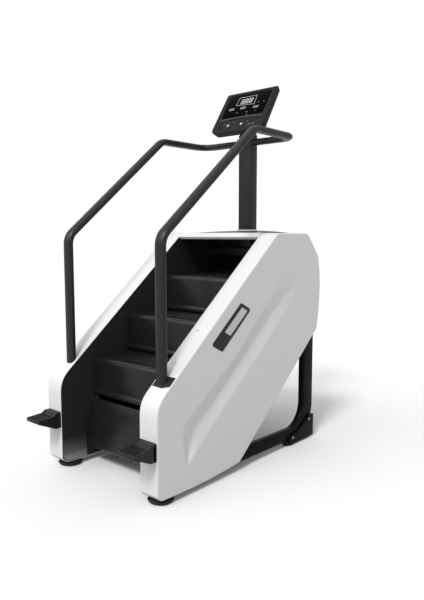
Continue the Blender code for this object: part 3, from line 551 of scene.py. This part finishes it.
def blurred(field):
    """A grid of values with each averaged with its neighbours."""
    padded = np.pad(field, 1, mode="edge")
    return (padded[1:-1, 1:-1] * 4 + padded[:-2, 1:-1] + padded[2:, 1:-1] + padded[1:-1, :-2]
            + padded[1:-1, 2:]) / 8


def side_shell(word, side):
    """A pressed and painted housing: a relieved outer face, rounded edges and a wall round its rim."""
    outline = hull_outline(f"side_cover_{word}", side * OUTER)
    face = inset_ring(outline, EDGE_ROUND)
    closed = np.vstack([face, face[:1]])
    floor_z, roof_z = face[:, 1].min(), face[:, 1].max()
    levels = np.union1d(np.linspace(floor_z, roof_z, SHELL_ROWS), face[:, 1])
    levels = levels[np.concatenate([[True], np.diff(levels) > 0.0006])]
    levels[-1] = roof_z
    columns = np.linspace(0, 1, SHELL_COLUMNS)
    grid_y = np.zeros((len(levels), len(columns)))
    for row, level in enumerate(levels):
        crossings = []
        for start, end in zip(closed, closed[1:]):
            low, high = sorted((start[1], end[1]))
            if low - 1e-7 <= level <= high + 1e-7 and high - low > 1e-9:
                share = (level - start[1]) / (end[1] - start[1])
                crossings.append(start[0] + (end[0] - start[0]) * share)
            elif abs(low - level) < 1e-7 and high - low <= 1e-9:
                crossings += [start[0], end[0]]
        grid_y[row] = min(crossings) + (max(crossings) - min(crossings)) * columns
    grid_z = np.repeat(levels[:, None], len(columns), 1)
    depth = channel_depth(grid_y, grid_z)
    for _ in range(2):
        depth = blurred(depth)
    verts = [
        (side * (OUTER - d), y, z) for d, y, z in zip(depth.ravel(), grid_y.ravel(), grid_z.ravel())
    ]
    rows, wide = grid_y.shape
    rim = [(0, c) for c in range(wide)] + [(r, wide - 1) for r in range(1, rows)]
    rim += [(rows - 1, c) for c in range(wide - 2, -1, -1)] + [(r, 0) for r in range(rows - 2, 0, -1)]
    ring = np.array([(grid_y[place], grid_z[place]) for place in rim])
    # The edge's round as (outwards, inboard) places, then the wall back to the inner side
    steps, wide_wall = 5, OUTER - INNER
    turns = [math.pi / 2 * k / steps for k in range(1, steps + 1)]
    stations = [(EDGE_ROUND * math.sin(turn), EDGE_ROUND * (1 - math.cos(turn))) for turn in turns]
    stations += [(EDGE_ROUND, 0.040), (EDGE_ROUND, wide_wall - 0.0025), (EDGE_ROUND - 0.0008, wide_wall)]
    rings = [[r * wide + c for r, c in rim]]
    for outwards, inboard in stations:
        rings.append(range(len(verts), len(verts) + len(rim)))
        verts += [(side * (OUTER - inboard), y, z) for y, z in inset_ring(ring, -outwards)]
    made = walled(mesh_piece(f"shell_{word}", verts, grid_faces(rows, wide) + skin(rings)), SHELL_WALL)
    finish(made, SILVER, [f"side_cover_{word}"], angle=50)


def shell_crease(word, side):
    """Two fine raised lines on the lower back of the outer face."""
    lines = (((1.033, 0.819), (1.062, 0.727), (0.839, 0.535)),
             ((0.792, 0.510), (0.784, 0.478), (0.738, 0.454)))
    section = [(-0.0022, 0), (0, 0.0010), (0.0022, 0), (0, -0.0010)]
    pieces = []
    for line in lines:
        path = [Vector((side * OUTER, FRONT + y, z)) for y, z in line]
        pieces.append(sweep("line", bent_path(path, 0.008, 10), section, (0, 1, 0)))
    finish(joined(f"shell_crease_{word}", pieces), SILVER)


def toe_panel(word, side):
    """The kick panel low on the housing's inner side."""
    edge = 0.004
    outline = rounded([
        (FRONT + edge, BASE + 0.036, 0.006), (FRONT + 0.026, BASE + 0.011, 0.006),
        (FRONT + 0.155, BASE + edge, 0.002), (FRONT + 0.155, BASE + 0.140, 0.002),
        (FRONT + edge, BASE + 0.140, 0.002),
    ])
    made = prism(f"toe_panel_{word}", outline, side * (INNER - 0.0012), side * (INNER + 0.0006), bevel=0.0005)
    # Its finish is painted light: reflected floor light at the foot, fading to painted shade above.
    finish(made, TOE_PAINTED_SHADE)


# Covers between the shells

def top_cover():
    """A gently domed roof behind a silver lip that carries on the housings' slope."""
    half = INNER - 0.0006
    low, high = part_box("top_cover")
    crown = [(place.x, place.y) for place in hull_outline("side_cover_right", OUTER)]
    foot = (low.y, EDGE_RISE + SLOPE * (low.y - FRONT))
    crown = sorted([foot] + [place for place in crown if place[0] > low.y and place[1] > TOP - 0.13])
    crown_y, crown_z = zip(*crown)
    lip_end = min(y for y, z in crown if z > TOP - 0.0005) + 0.010
    hem = [(low.y + 0.010, foot[1] - 0.012), (low.y + 0.002, foot[1] - 0.004)]
    for name, start, end, before, stuff, lift in (
        ("top_cover_lip", low.y, lip_end, hem, SILVER, 0.0),
        ("top_cover_roof", lip_end, high.y, [], DARK_COVER, 0.016),
    ):
        run = sorted({start, end, *np.linspace(start, end, 24), *(y for y in crown_y if start < y < end)})
        rows = before + [(y, float(np.interp(y, crown_y, crown_z))) for y in run]
        verts, columns = [], 24
        for i, (y, z) in enumerate(rows):
            swell = lift * math.sin(math.pi * i / (len(rows) - 1)) ** 0.5 if lift else 0.0
            for k in range(columns + 1):
                across = 2 * k / columns - 1
                verts.append((across * half, y, z + swell * (1 - abs(across) ** 2.5)))
        made = mesh_piece(name, verts, grid_faces(len(rows), columns + 1))
        walled(made, SHELL_WALL, -1 if made.data.polygons[0].normal.z > 0 else 1)
        finish(made, stuff, ["top_cover"] if lift else (), angle=40)


# Steps

CHAIN_LOW = Vector(JOINTS["lower_shaft_turn"]["pos_m"][1:])
CHAIN_HIGH = Vector(JOINTS["upper_shaft_turn"]["pos_m"][1:])
PITCH = math.hypot(RUN, RISE)


def chain_place(travel):
    """The place on the chain's loop this far from where it leaves the lower sprocket, going up."""
    up = (CHAIN_HIGH - CHAIN_LOW).normalized()
    out = Vector((-up.y, up.x))
    apart, half_turn = (CHAIN_HIGH - CHAIN_LOW).length, math.pi * CHAIN_RADIUS
    travel %= 2 * (apart + half_turn)
    if travel < apart:
        return CHAIN_LOW + out * CHAIN_RADIUS + up * travel
    travel -= apart
    if travel < half_turn:
        angle = travel / CHAIN_RADIUS
        return CHAIN_HIGH + CHAIN_RADIUS * (out * math.cos(angle) + up * math.sin(angle))
    travel -= half_turn
    if travel < apart:
        return CHAIN_HIGH - out * CHAIN_RADIUS - up * travel
    angle = (travel - apart) / CHAIN_RADIUS
    return CHAIN_LOW - CHAIN_RADIUS * (out * math.cos(angle) + up * math.sin(angle))


class StepFrame:
    """Places on one step: its tread runs from the rear pin to the nose, its riser on to the front pin."""

    def __init__(self, number):
        self.rear = chain_place(FIRST_PIN_TRAVEL + (number - 1) * PITCH)
        self.front = chain_place(FIRST_PIN_TRAVEL + (number - 2) * PITCH)
        chord = self.front - self.rear
        along = chord.normalized()
        outward = Vector((along.y, -along.x))
        reach = (RUN**2 - RISE**2 + chord.length_squared) / (2 * chord.length)
        self.nose = self.rear + along * reach + outward * math.sqrt(RUN**2 - reach**2)
        self.tread_way = (self.nose - self.rear).normalized()
        self.riser_way = (self.front - self.nose).normalized()
        self.tread_out = Vector((self.tread_way.y, -self.tread_way.x))
        self.riser_out = Vector((self.riser_way.y, -self.riser_way.x))

    def tread(self, distance, height):
        return self.rear + self.tread_way * distance + self.tread_out * height

    def riser(self, distance, height):
        return self.nose + self.riser_way * distance + self.riser_out * height

    def corner(self, tread_height, riser_height):
        """Where a line over the tread meets a line over the riser."""
        a, b = self.tread_out, self.riser_out
        span = a.x * b.y - a.y * b.x
        y = (tread_height * b.y - riser_height * a.y) / span
        z = (riser_height * a.x - tread_height * b.x) / span
        return self.nose + Vector((y, z))


# On a step, from its pins: the tread's back end, the riser's foot, and the undersides of both
TREAD_END, LEANING_TREAD_END = 0.012, -0.008
RISER_FOOT = RISE - PIN_TO_TREAD - 0.002
TREAD_UNDER = PIN_TO_TREAD - TREAD_THICK
RISER_BACK = PIN_TO_RISER - RISER_THICK
GROOVES, GROOVE_START, GROOVE_PITCH, GROOVE_WIDE, GROOVE_DEEP = 15, 0.036, 0.0115, 0.0030, 0.0006
RIBS, BEAD_WAVES = 6, 14


def step_outline(at, tread_end, grooves):
    """The step cut lengthwise: a grooved tread, a rounded nose and a riser with a bead at its foot."""
    corners = [(*at.tread(tread_end, PIN_TO_TREAD), 0)]
    for k in range(grooves):
        for share, deep in ((0, 0), (0.25, GROOVE_DEEP), (0.75, GROOVE_DEEP), (1, 0)):
            start = GROOVE_START + k * GROOVE_PITCH
            corners.append((*at.tread(start + GROOVE_WIDE * share, PIN_TO_TREAD - deep), 0))
    corners.append((*at.corner(PIN_TO_TREAD, PIN_TO_RISER), NOSE_RADIUS))
    top = RISER_FOOT - BEAD_HEIGHT
    corners += [(*at.riser(top - 0.006, PIN_TO_RISER), 0), (*at.riser(top - 0.003, PIN_TO_RISER - 0.0022), 0)]
    for k in range(BEAD_WAVES + 1):
        share = k / BEAD_WAVES
        swell = (BEAD_REACH + 0.002) * math.sin(math.pi * (0.04 + 0.90 * share)) ** 0.55
        corners.append((*at.riser(top + BEAD_HEIGHT * share, PIN_TO_RISER - 0.002 + swell), 0))
    corners += [
        (*at.riser(RISER_FOOT, RISER_BACK), 0), (*at.corner(TREAD_UNDER, RISER_BACK), 0.012),
        (*at.tread(tread_end, TREAD_UNDER), 0),
    ]
    return rounded(corners, 6)


def step(number, body):
    """A moulded step with ribs inside and an ear for each pin; step 1 is the leaning panel at the foot."""
    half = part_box(f"step_{number}")[1].x
    at = StepFrame(number)
    leaning = number == 1
    outline = step_outline(at, LEANING_TREAD_END if leaning else TREAD_END, 0 if leaning else GROOVES)
    tread = prism("tread", outline, -half, half, bevel=0.0008, segments=2)
    if leaning:
        # Notches for the ears of the next step
        low, high = TREAD_UNDER - 0.01, PIN_TO_TREAD + 0.01
        notch = [at.tread(*place) for place in ((-0.030, low), (0.0125, low), (0.0125, high), (-0.030, high))]
        for _, side in SIDES:
            cut(tread, prism("notch", notch, side * 0.2695, side * 0.300))
    shapes = [tread]
    rib = rounded([
        (*at.tread(0.075, TREAD_UNDER + 0.002), 0), (*at.corner(TREAD_UNDER + 0.002, RISER_BACK + 0.002), 0),
        (*at.riser(RISER_FOOT - 0.030, RISER_BACK + 0.002), 0),
        (*at.corner(TREAD_UNDER - 0.055, RISER_BACK - 0.055), 0.06),
    ], 10)
    for k in range(RIBS):
        x = (half - 0.030) * (2 * k / (RIBS - 1) - 1)
        shapes.append(prism("rib", rib, x - 0.0025, x + 0.0025, bevel=0.0006, segments=1))
    rear_ear = rounded([
        (*at.tread(-0.010, TREAD_UNDER + 0.004), 0), (*at.tread(0.080, TREAD_UNDER + 0.004), 0),
        (*at.tread(-0.010, -0.013), 0.009),
    ], 10)
    front_ear = rounded([
        (*at.riser(0.110, RISER_BACK + 0.003), 0), (*at.riser(RISE + 0.012, RISER_BACK + 0.008), 0.006),
        (*at.riser(RISE + 0.012, RISER_BACK - 0.010), 0.006), (*at.riser(0.150, RISER_BACK - 0.010), 0),
    ], 10)
    for _, side in SIDES:
        for ear, inside, outside in ((rear_ear, 0.262, 0.268), (front_ear, 0.271, 0.277)):
            shapes.append(prism("ear", ear, side * inside, side * outside, bevel=0.0008, segments=2))
    made = joined(f"step_{number}_moulding", shapes)
    finish(made, STEP_PLASTIC, [f"step_{number}"], body)


# Rails, mast and console

def handrail(word, side):
    mast_low, mast_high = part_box("mast")
    mast_y = (mast_low.y + mast_high.y) / 2
    corners = [
        (side * RAIL_X, RAIL_Y, 0.300),
        (side * RAIL_X, RAIL_Y, RAIL_KNEE_Z),
        (side * RAIL_X, RAIL_TOP_Y, RAIL_TOP_Z),
        (side * (RAIL_X - 0.008), mast_y - 0.018, RAIL_TOP_Z),
        (side * (mast_high.x + 0.0004), mast_y - 0.016, RAIL_TOP_Z),
    ]
    section = []
    count, power = 36, 0.86
    for k in range(count):
        angle = math.tau * k / count
        u, v = math.cos(angle), math.sin(angle)
        section.append((RAIL_WIDE / 2 * math.copysign(abs(u) ** power, u),
                        RAIL_DEEP / 2 * math.copysign(abs(v) ** power, v)))
    made = sweep(f"rail_tube_{word}", bent_path(corners, RAIL_BEND), section, (1, 0, 0))
    finish(made, POWDER, [f"handrail_{word}"], angle=50)


def post_boot(word, side):
    """The filler round the post, its top just over the shell, on a strip that closes the gap below it."""
    lift, gap = 0.0062, 0.003
    wide, deep = RAIL_WIDE / 2 + gap, RAIL_DEEP / 2 + gap
    plate = bpy.data.objects.new("plate", frame["nodes"][f"post_boot_{word}"].data.copy())
    plate.data.transform(Matrix.Translation((0, 0, lift)))
    round_edges(add(plate), 0.0006, 2)
    corners = []
    for way, under in ((-1, 0.0045), (1, 0.0045), (1, 0.0085), (-1, 0.0085)):
        y = RAIL_Y + way * deep
        corners.append((y, EDGE_RISE + SLOPE * (y - FRONT) + lift - under))
    seal = prism("seal", corners, side * (RAIL_X - wide), side * (RAIL_X + wide))
    finish(joined(f"rail_boot_{word}", [plate, seal]), MATTE, [f"post_boot_{word}"])


def mast():
    """The mast, its tapered collar, and a bolted flange where each handrail meets it."""
    low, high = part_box("mast")
    made = block("mast_tube", high - low, (low + high) / 2, 0.009, segments=5)
    finish(made, POWDER, ["mast"])
    low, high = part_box("mast_collar")
    middle_y = (low.y + high.y) / 2
    half_x, half_y = (high.x - low.x) / 2, (high.y - low.y) / 2
    verts, rings = [], []
    for level, grow in ((low.z - 0.002, 0), (low.z + 0.006, 0), (high.z - 0.006, -0.004), (high.z, -0.0105)):
        ring = rounded([(u * (half_x + grow), v * (half_y + grow), 0.010) for u, v in SQUARE], 10)
        rings.append(tuple(range(len(verts), len(verts) + len(ring))))
        verts += [(place.x, middle_y + place.y, level) for place in ring]
    made = mesh_piece("mast_skirt", verts, [rings[0], rings[-1], *skin(rings)])
    finish(made, COLLAR_GREY, ["mast_collar"])
    for word, side in SIDES:
        flange = block("flange", (0.0030, 0.048, 0.052), (side * 0.0515, middle_y - 0.012, RAIL_TOP_Z), 0.001)
        bolts = [bolt("b", (side * 0.053, middle_y + 0.014, RAIL_TOP_Z + v), (side, 0, 0), 0.004, 0.003)
                 for v in (-0.034, 0.034)]
        finish(joined(f"rail_flange_{word}", [flange, *bolts]), POWDER)


FACE_LOW = Vector((0, FRONT + 1.050, 1.838))
FACE_UP = Vector((0, math.sin(CONSOLE_LEAN), math.cos(CONSOLE_LEAN)))
FACE_OUT = Vector((0, -math.cos(CONSOLE_LEAN), math.sin(CONSOLE_LEAN)))
FACE = Matrix((
    (1, FACE_UP.x, FACE_OUT.x, FACE_LOW.x), (0, FACE_UP.y, FACE_OUT.y, FACE_LOW.y),
    (0, FACE_UP.z, FACE_OUT.z, FACE_LOW.z), (0, 0, 0, 1),
))
DISPLAY_HALF, DISPLAY_LOW, DISPLAY_HIGH = 0.156, 0.110, 0.292
GLASS_TOP = -0.0012
PRINTED = (GLASS_TOP - 0.0003, GLASS_TOP + 0.0003)
TRAY_HALF = 0.158
BUTTON_UP, BUTTON_RADIUS = 0.047, 0.009
BUTTONS = (("start_button", -0.072), ("stop_button", 0.028))


def console_shell():
    """The console's body: a display well, a shallow tray and two button holes."""
    outline = rounded(rectangle(CONSOLE_HALF, CONSOLE_BOTTOM, CONSOLE_TALL, 0.045, 0.018), 6)
    body = prism("console_shell", outline, -CONSOLE_THICK, 0, FACE)
    taper = bmesh.new()
    taper.from_mesh(body.data)
    inverse = FACE.inverted()
    for vertex in taper.verts:
        local = inverse @ vertex.co
        if local.z < -0.01:
            local.z += 0.013 * (local.y / CONSOLE_TALL)
            local.x *= 0.965
            local.y = 0.010 + local.y * 0.962
            vertex.co = FACE @ local
    taper.to_mesh(body.data)
    taper.free()
    round_edges(body, 0.0045, 4)
    cut(body, prism("well", rounded(rectangle(DISPLAY_HALF, DISPLAY_LOW, DISPLAY_HIGH, 0.012, 0.012)),
                    -0.0035, 0.02, FACE))
    tray = rounded([
        (-0.124, 0.014, 0.012), (-TRAY_HALF, 0.086, 0.010), (-0.060, 0.096, 0.15), (0.060, 0.096, 0.15),
        (TRAY_HALF, 0.086, 0.010), (0.124, 0.014, 0.012),
    ], 8)
    cut(body, prism("tray", tray, -0.0030, 0.02, FACE))
    for _, x in BUTTONS:
        hole = lathe("hole", [(-0.012, 0), (-0.012, 0.0096), (0.02, 0.0096), (0.02, 0)],
                     FACE @ Matrix.Translation((x, BUTTON_UP, 0)))
        cut(body, hole)
    round_edges(body, 0.0006, 2)
    finish(body, BEZEL, ["console_housing"], angle=40)


def print_bar(start, end, wide):
    """A printed line on the display's glass."""
    a, b = Vector(start), Vector(end)
    over = (b - a).orthogonal().normalized() * wide / 2
    return prism("bar", [a - over, b - over, b + over, a + over], *PRINTED, FACE)


def digit(x, y, wide, tall, thick):
    """A generic seven-segment figure with every segment lit."""
    slant = 0.12 * tall
    points = {(u, v): (x + u * wide + v * slant / 2, y + v * tall / 2) for u in (0, 1) for v in (0, 1, 2)}
    ends = (((0, 0), (1, 0)), ((0, 1), (1, 1)), ((0, 2), (1, 2)), ((0, 0), (0, 1)),
            ((0, 1), (0, 2)), ((1, 0), (1, 1)), ((1, 1), (1, 2)))
    return [print_bar(points[a], points[b], thick) for a, b in ends]


def display():
    """The display's glass with its printed window, digits, marks and lamps."""
    gap = 0.0006
    outline = rounded(rectangle(DISPLAY_HALF - gap, DISPLAY_LOW + gap, DISPLAY_HIGH - gap, 0.0115, 0.0115))
    glass = prism("display_glass", outline, -0.0031, GLASS_TOP, FACE, bevel=0.0004)
    finish(glass, GLASS, ["display_panel"])
    window = ((-0.083, 0.208), (-0.077, 0.268), (0.053, 0.268), (0.059, 0.199))
    sides = [print_bar(a, b, 0.0032) for a, b in zip(window, window[1:] + window[:1])]
    finish(joined("display_window", sides), PRINT_PAINTED_GLOW)
    small = ((-0.124, 0.174), (-0.036, 0.173), (0.062, 0.166))
    for name, count, pitch, starts, size in (
        ("display_digits", 4, 0.0225, ((-0.052, 0.216),), (0.015, 0.034, 0.0062)),
        ("display_data", 3, 0.0135, small, (0.009, 0.014, 0.0026)),
    ):
        figures = []
        for x, y in starts:
            for k in range(count):
                figures += digit(x + k * pitch, y, *size)
        finish(joined(name, figures), PRINT_PAINTED_GLOW)
    marks = []
    for x, y, wide, tall in ((-0.051, 0.144, 0.020, 0.0035), (0.025, 0.139, 0.018, 0.005),
                             (0.037, 0.118, 0.014, 0.003), (0.090, 0.140, 0.012, 0.003)):
        corners = [(x - wide / 2, y), (x + wide / 2, y), (x + wide / 2, y + tall), (x - wide / 2, y + tall)]
        marks.append(prism("mark", corners, *PRINTED, FACE))
    finish(joined("display_marks", marks), DIM_PRINT_PAINTED_GLOW)
    lamp = [(GLASS_TOP - 0.0002, 0), (GLASS_TOP - 0.0002, 0.0034), (GLASS_TOP + 0.0004, 0.0030),
            (GLASS_TOP + 0.0007, 0)]
    lamps = [lathe("lamp", lamp, FACE @ Matrix.Translation((x, y, 0)), 20)
             for x, y in ((0.087, 0.208), (0.127, 0.206))]
    finish(joined("display_lamps", lamps), PRINT_PAINTED_GLOW)


def console_buttons():
    profile = [
        (-0.0070, 0), (-0.0070, BUTTON_RADIUS), (0.0020, BUTTON_RADIUS), (0.0031, BUTTON_RADIUS - 0.0008),
        (0.0035, BUTTON_RADIUS - 0.0022), (0.0029, BUTTON_RADIUS * 0.5), (0.0026, 0),
    ]
    for name, x in BUTTONS:
        made = lathe(name + "_cap", profile, FACE @ Matrix.Translation((x, BUTTON_UP, 0)), 40)
        finish(made, BUTTON, [name], name)


def console_details():
    """The curved lip under the display and the key pads in the tray."""
    across = np.linspace(-TRAY_HALF, TRAY_HALF, 25)
    path = [FACE @ Vector((x, 0.1030 - 0.010 * (x / TRAY_HALF) ** 2, 0.0004)) for x in across]
    section = [(-0.0066, -0.001), (-0.0066, 0.0004), (-0.003, 0.0026), (0.0034, 0.0026), (0.0062, 0.0004),
               (0.0062, -0.001)]
    lip = sweep("console_lip", path, section, FACE_UP)
    finish(lip, LIP_GREY, angle=60)
    pads = []
    for wide, tall, up, places in ((0.020, 0.006, 0.040, (0.088, 0.116)),
                                   (0.012, 0.005, 0.066, (-0.110, -0.036, 0.064))):
        pads += [block("pad", (wide, tall, 0.0016), (x, up, -0.0026), 0.0006, FACE, 2) for x in places]
    finish(joined("console_pads", pads), DIM_PRINT_PAINTED_GLOW)


# Supports

def rear_leg(word):
    low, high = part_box(f"rear_leg_{word}")
    deep, tall, inside, outside = 0.105, 0.072, 0.135, 0.180
    front_low, back_low = 0.0400, 0.0250
    outline = rounded([
        (low.y, front_low, 0), (low.y, front_low + tall, 0), (high.y - deep, back_low + tall, inside),
        (high.y - deep, high.z, 0), (high.y, high.z, 0), (high.y, back_low, outside),
    ], 4)
    made = prism(f"leg_tube_{word}", outline, low.x, high.x, bevel=0.011, segments=5)
    finish(made, LEG_PAINT, [f"rear_leg_{word}"], angle=40)


def corner_bracket(word, side):
    """A gusset plate with a cap on its front end, two bolts and the transport wheel's axle."""
    low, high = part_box(f"corner_bracket_{word}")
    outer = max(abs(low.x), abs(high.x))
    thick = 0.0117
    outline = rounded([
        (low.y, low.z, 0.008), (low.y, 0.062, 0.010), (low.y + 0.080, 0.079, 0.05),
        (low.y + 0.188, high.z, 0.006), (high.y, high.z, 0.008), (high.y, low.z, 0.014),
    ], 6)
    plate = prism("plate", outline, side * (outer - thick), side * outer, bevel=0.0025)
    wheel = Vector(JOINTS[f"wheel_spin_{word}"]["pos_m"])
    axle = lathe("axle", [(0.367, 0), (0.367, 0.006), (outer - 0.010, 0.006), (outer - 0.010, 0)],
                 axis_matrix((0, wheel.y, wheel.z), (side, 0, 0)), 24)
    cap = block("cap", (thick + 0.006, 0.026, 0.048), (side * (outer - 0.009), low.y - 0.008, 0.036), 0.004)
    finish(joined(f"bracket_plate_{word}", [plate, axle, cap]), LEG_PAINT,
           [f"corner_bracket_{word}"])
    for k, (y, z) in enumerate(((1.264, 0.119), (1.091, 0.046))):
        made = bolt(f"bracket_bolt_{word}_{k + 1}", (side * outer, FRONT + y, z), (side, 0, 0), 0.0055)
        finish(made, STEEL)


def transport_wheel(word):
    low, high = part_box(f"transport_wheel_{word}")
    wheel = Vector(JOINTS[f"wheel_spin_{word}"]["pos_m"])
    half, radius, bore = (high.x - low.x) / 2, (high.z - low.z) / 2, 0.0065
    profile = [
        (half, bore), (half, 0.012), (half - 0.001, 0.0135), (half - 0.004, 0.0150), (half - 0.004, 0.0215),
        (half - 0.001, 0.0235), (half - 0.0005, radius - 0.004), (half - 0.003, radius - 0.001),
        (half - 0.0065, radius), (0.0012, radius), (0, radius - 0.0008),
    ]
    profile += [(-along, r) for along, r in reversed(profile[:-1])] + [(half, bore)]
    matrix = axis_matrix(((low.x + high.x) / 2, wheel.y, wheel.z), (1, 0, 0))
    made = lathe(f"wheel_tyre_{word}", profile, matrix, 64)
    finish(made, RUBBER, [f"transport_wheel_{word}"], f"wheel_{word}")


def rear_pad(word):
    """A rubber block with treads on its underside."""
    low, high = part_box(f"rear_pad_{word}")
    size, middle = high - low, (low + high) / 2
    body = block("pad", (size.x, size.y, size.z - 0.003), (middle.x, middle.y, middle.z + 0.0015), 0.004)
    treads = [
        block("tread", (size.x - 0.006, 0.006, 0.004), (middle.x, low.y + 0.010 + 0.012 * k, 0.002), 0.001)
        for k in range(6)
    ]
    finish(joined(f"rear_pad_block_{word}", [body, *treads]), RUBBER, [f"rear_pad_{word}"])


def front_foot(word):
    """A round rubber foot on a threaded stud."""
    low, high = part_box(f"front_foot_{word}")
    middle, radius = (low + high) / 2, (high.x - low.x) / 2
    profile = [
        (0, 0), (0, 0.043), (0.0035, 0.055), (0.0085, radius - 0.0014), (0.0125, radius),
        (0.0155, radius - 0.0012), (0.0185, 0.056), (0.0215, 0.046), (0.0230, 0.034), (0.0235, 0.022),
        (0.0255, 0.015), (0.0258, 0.0085),
    ]
    threads, pitch = 12, 0.0038
    for k in range(threads):
        profile += [(0.0275 + pitch * k, 0.0078), (0.0294 + pitch * k, 0.0066)]
    profile.append((high.z, 0))
    made = lathe(f"foot_disc_{word}", profile, Matrix.Translation((middle.x, middle.y, 0)), 72)
    finish(made, RUBBER, [f"front_foot_{word}"], f"foot_{word}")


def pedal(word, side):
    """A step plate on a housing's front: ridges between raised rims, and a slot in its outer end."""
    low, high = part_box(f"pedal_{word}")
    front, back = low.y, high.y
    body = rounded([
        (back, low.z, 0), (back - 0.034, low.z, 0.012), (front, 0.272, 0.005), (front, 0.2865, 0.005),
        (back - 0.046, 0.2880, 0.02), (back - 0.022, high.z - 0.004, 0.010), (back, high.z - 0.004, 0),
    ], 8)
    wide, middle = high.x - low.x, (low.x + high.x) / 2
    made = prism("body", body, low.x + 0.001, high.x - 0.001, bevel=0.0015)
    outer = high.x if side > 0 else low.x
    slot = rounded([
        (back - 0.004, 0.232, 0.003), (back - 0.019, 0.232, 0.003), (back - 0.019, 0.303, 0.003),
        (back - 0.004, 0.303, 0.003),
    ], 10)
    shapes = [cut(made, prism("slot", slot, outer - side * 0.035, outer + side * 0.010))]
    rim = rounded([
        (back - 0.022, 0.270, 0), (front, 0.276, 0.004), (front, 0.2905, 0.004), (back - 0.046, 0.2945, 0.03),
        (back - 0.022, high.z, 0.004),
    ], 8)
    for x in (low.x, high.x - 0.006):
        shapes.append(prism("rim", rim, x, x + 0.006, bevel=0.0014))
    ridges, bar_y = 7, back - 0.046
    for k in range(ridges):
        x = low.x + 0.013 + (wide - 0.026) * k / (ridges - 1)
        size = (0.0068, back - front - 0.058, 0.0080)
        shapes.append(block("ridge", size, (x, (front + bar_y) / 2, 0.2885), 0.0014))
    for name, size, y, z, bevel in (
        ("rear_bar", (wide - 0.014, 0.008, 0.012), bar_y, 0.2895, 0.0018),
        ("lip", (wide - 0.004, 0.006, 0.010), front + 0.004, 0.2850, 0.0018),
        ("mount", (wide - 0.006, 0.004, high.z - low.z - 0.004), back - 0.0024, (low.z + high.z) / 2, 0.001),
    ):
        shapes.append(block(name, size, (middle, y, z), bevel))
    finish(joined(f"pedal_tread_{word}", shapes), MATTE, [f"pedal_{word}"])


def badge(word, side):
    """A slanted black frame on the housing's side, with a mirror in its upper part."""
    def ring_of(places, radius):
        return rounded([(FRONT + y, z, radius) for y, z in places], 10)

    level = OUTER + 0.0002
    surround = ring_of(((0.592, 0.884), (0.674, 0.842), (0.446, 0.654), (0.364, 0.697)), 0.011)
    ring = ring_of(((0.600, 0.863), (0.646, 0.839), (0.504, 0.724), (0.458, 0.748)), 0.004)
    plate = prism("plate", surround, side * level, side * (level + 0.0014), bevel=0.0004)
    middle = sum(ring, Vector((0, 0))) / len(ring)
    path = [Vector((side * (level + 0.0013), *place)) for place in ring]
    rim = loop("rim", path, 0.0026, 0.0010, (side, 0, 0))
    made = joined(f"badge_surround_{word}", [plate, rim])
    finish(made, GLOSS, [f"badge_frame_{word}"])
    inner = [middle + (place - middle) * 0.965 for place in ring]
    low, high = side * (level + 0.0010), side * (level + 0.0021)
    made = prism(f"badge_mirror_{word}", inner, low, high, bevel=0.0004)
    finish(made, MIRROR, [f"badge_insert_{word}"])


def shell_screws():
    """Two small screws on each shell's sloping edge, near its inner side."""
    normal = Vector((0, -SLOPE, 1)).normalized()
    for word, side in SIDES:
        for k, y in enumerate((0.185, 0.345)):
            place = Vector((side * (INNER + 0.042), FRONT + y, EDGE_RISE + SLOPE * y)) + normal * 0.0001
            made = bolt(f"shell_screw_{word}_{k + 1}", place, normal, 0.0030, 0.0014)
            finish(made, STEEL)


# CAD nodes that keep their shape

KEPT = {
    "inner_skirt": SKIRT_GLOSS, "side_plate": POWDER, "lower_bearing": STEEL, "upper_bearing": STEEL,
    "lower_shaft": STEEL, "upper_shaft": STEEL, "chain": STEEL, "flywheel": STEEL, "drive_belt": RUBBER,
    "brake_magnet": POWDER, "control_board": BOARD, "lower_cross_tube": POWDER, "upper_cross_tube": POWDER,
    "mast_cross_tube": POWDER, "console_bracket": POWDER, "rear_cover": MATTE, "under_cover": MATTE,
    "power_inlet": MATTE,
}


def keep_cad_nodes():
    for name, node in frame["nodes"].items():
        stem = name.removesuffix("_left").removesuffix("_right")
        if stem in KEPT:
            node.data.materials.clear()
            node.data.materials.append(KEPT[stem])


camera()
studio()
floor()
keep_cad_nodes()
for word, side in SIDES:
    side_shell(word, side)
    shell_crease(word, side)
    toe_panel(word, side)
    handrail(word, side)
    post_boot(word, side)
    rear_leg(word)
    corner_bracket(word, side)
    transport_wheel(word)
    rear_pad(word)
    front_foot(word)
    pedal(word, side)
    badge(word, side)
top_cover()
BODY_OF_STEP = {1: "lower_turn", 5: "upper_turn"}
for number in range(1, 9):
    step(number, BODY_OF_STEP.get(number, "staircase" if number < 5 else "return_run"))
mast()
console_shell()
display()
console_buttons()
console_details()
shell_screws()
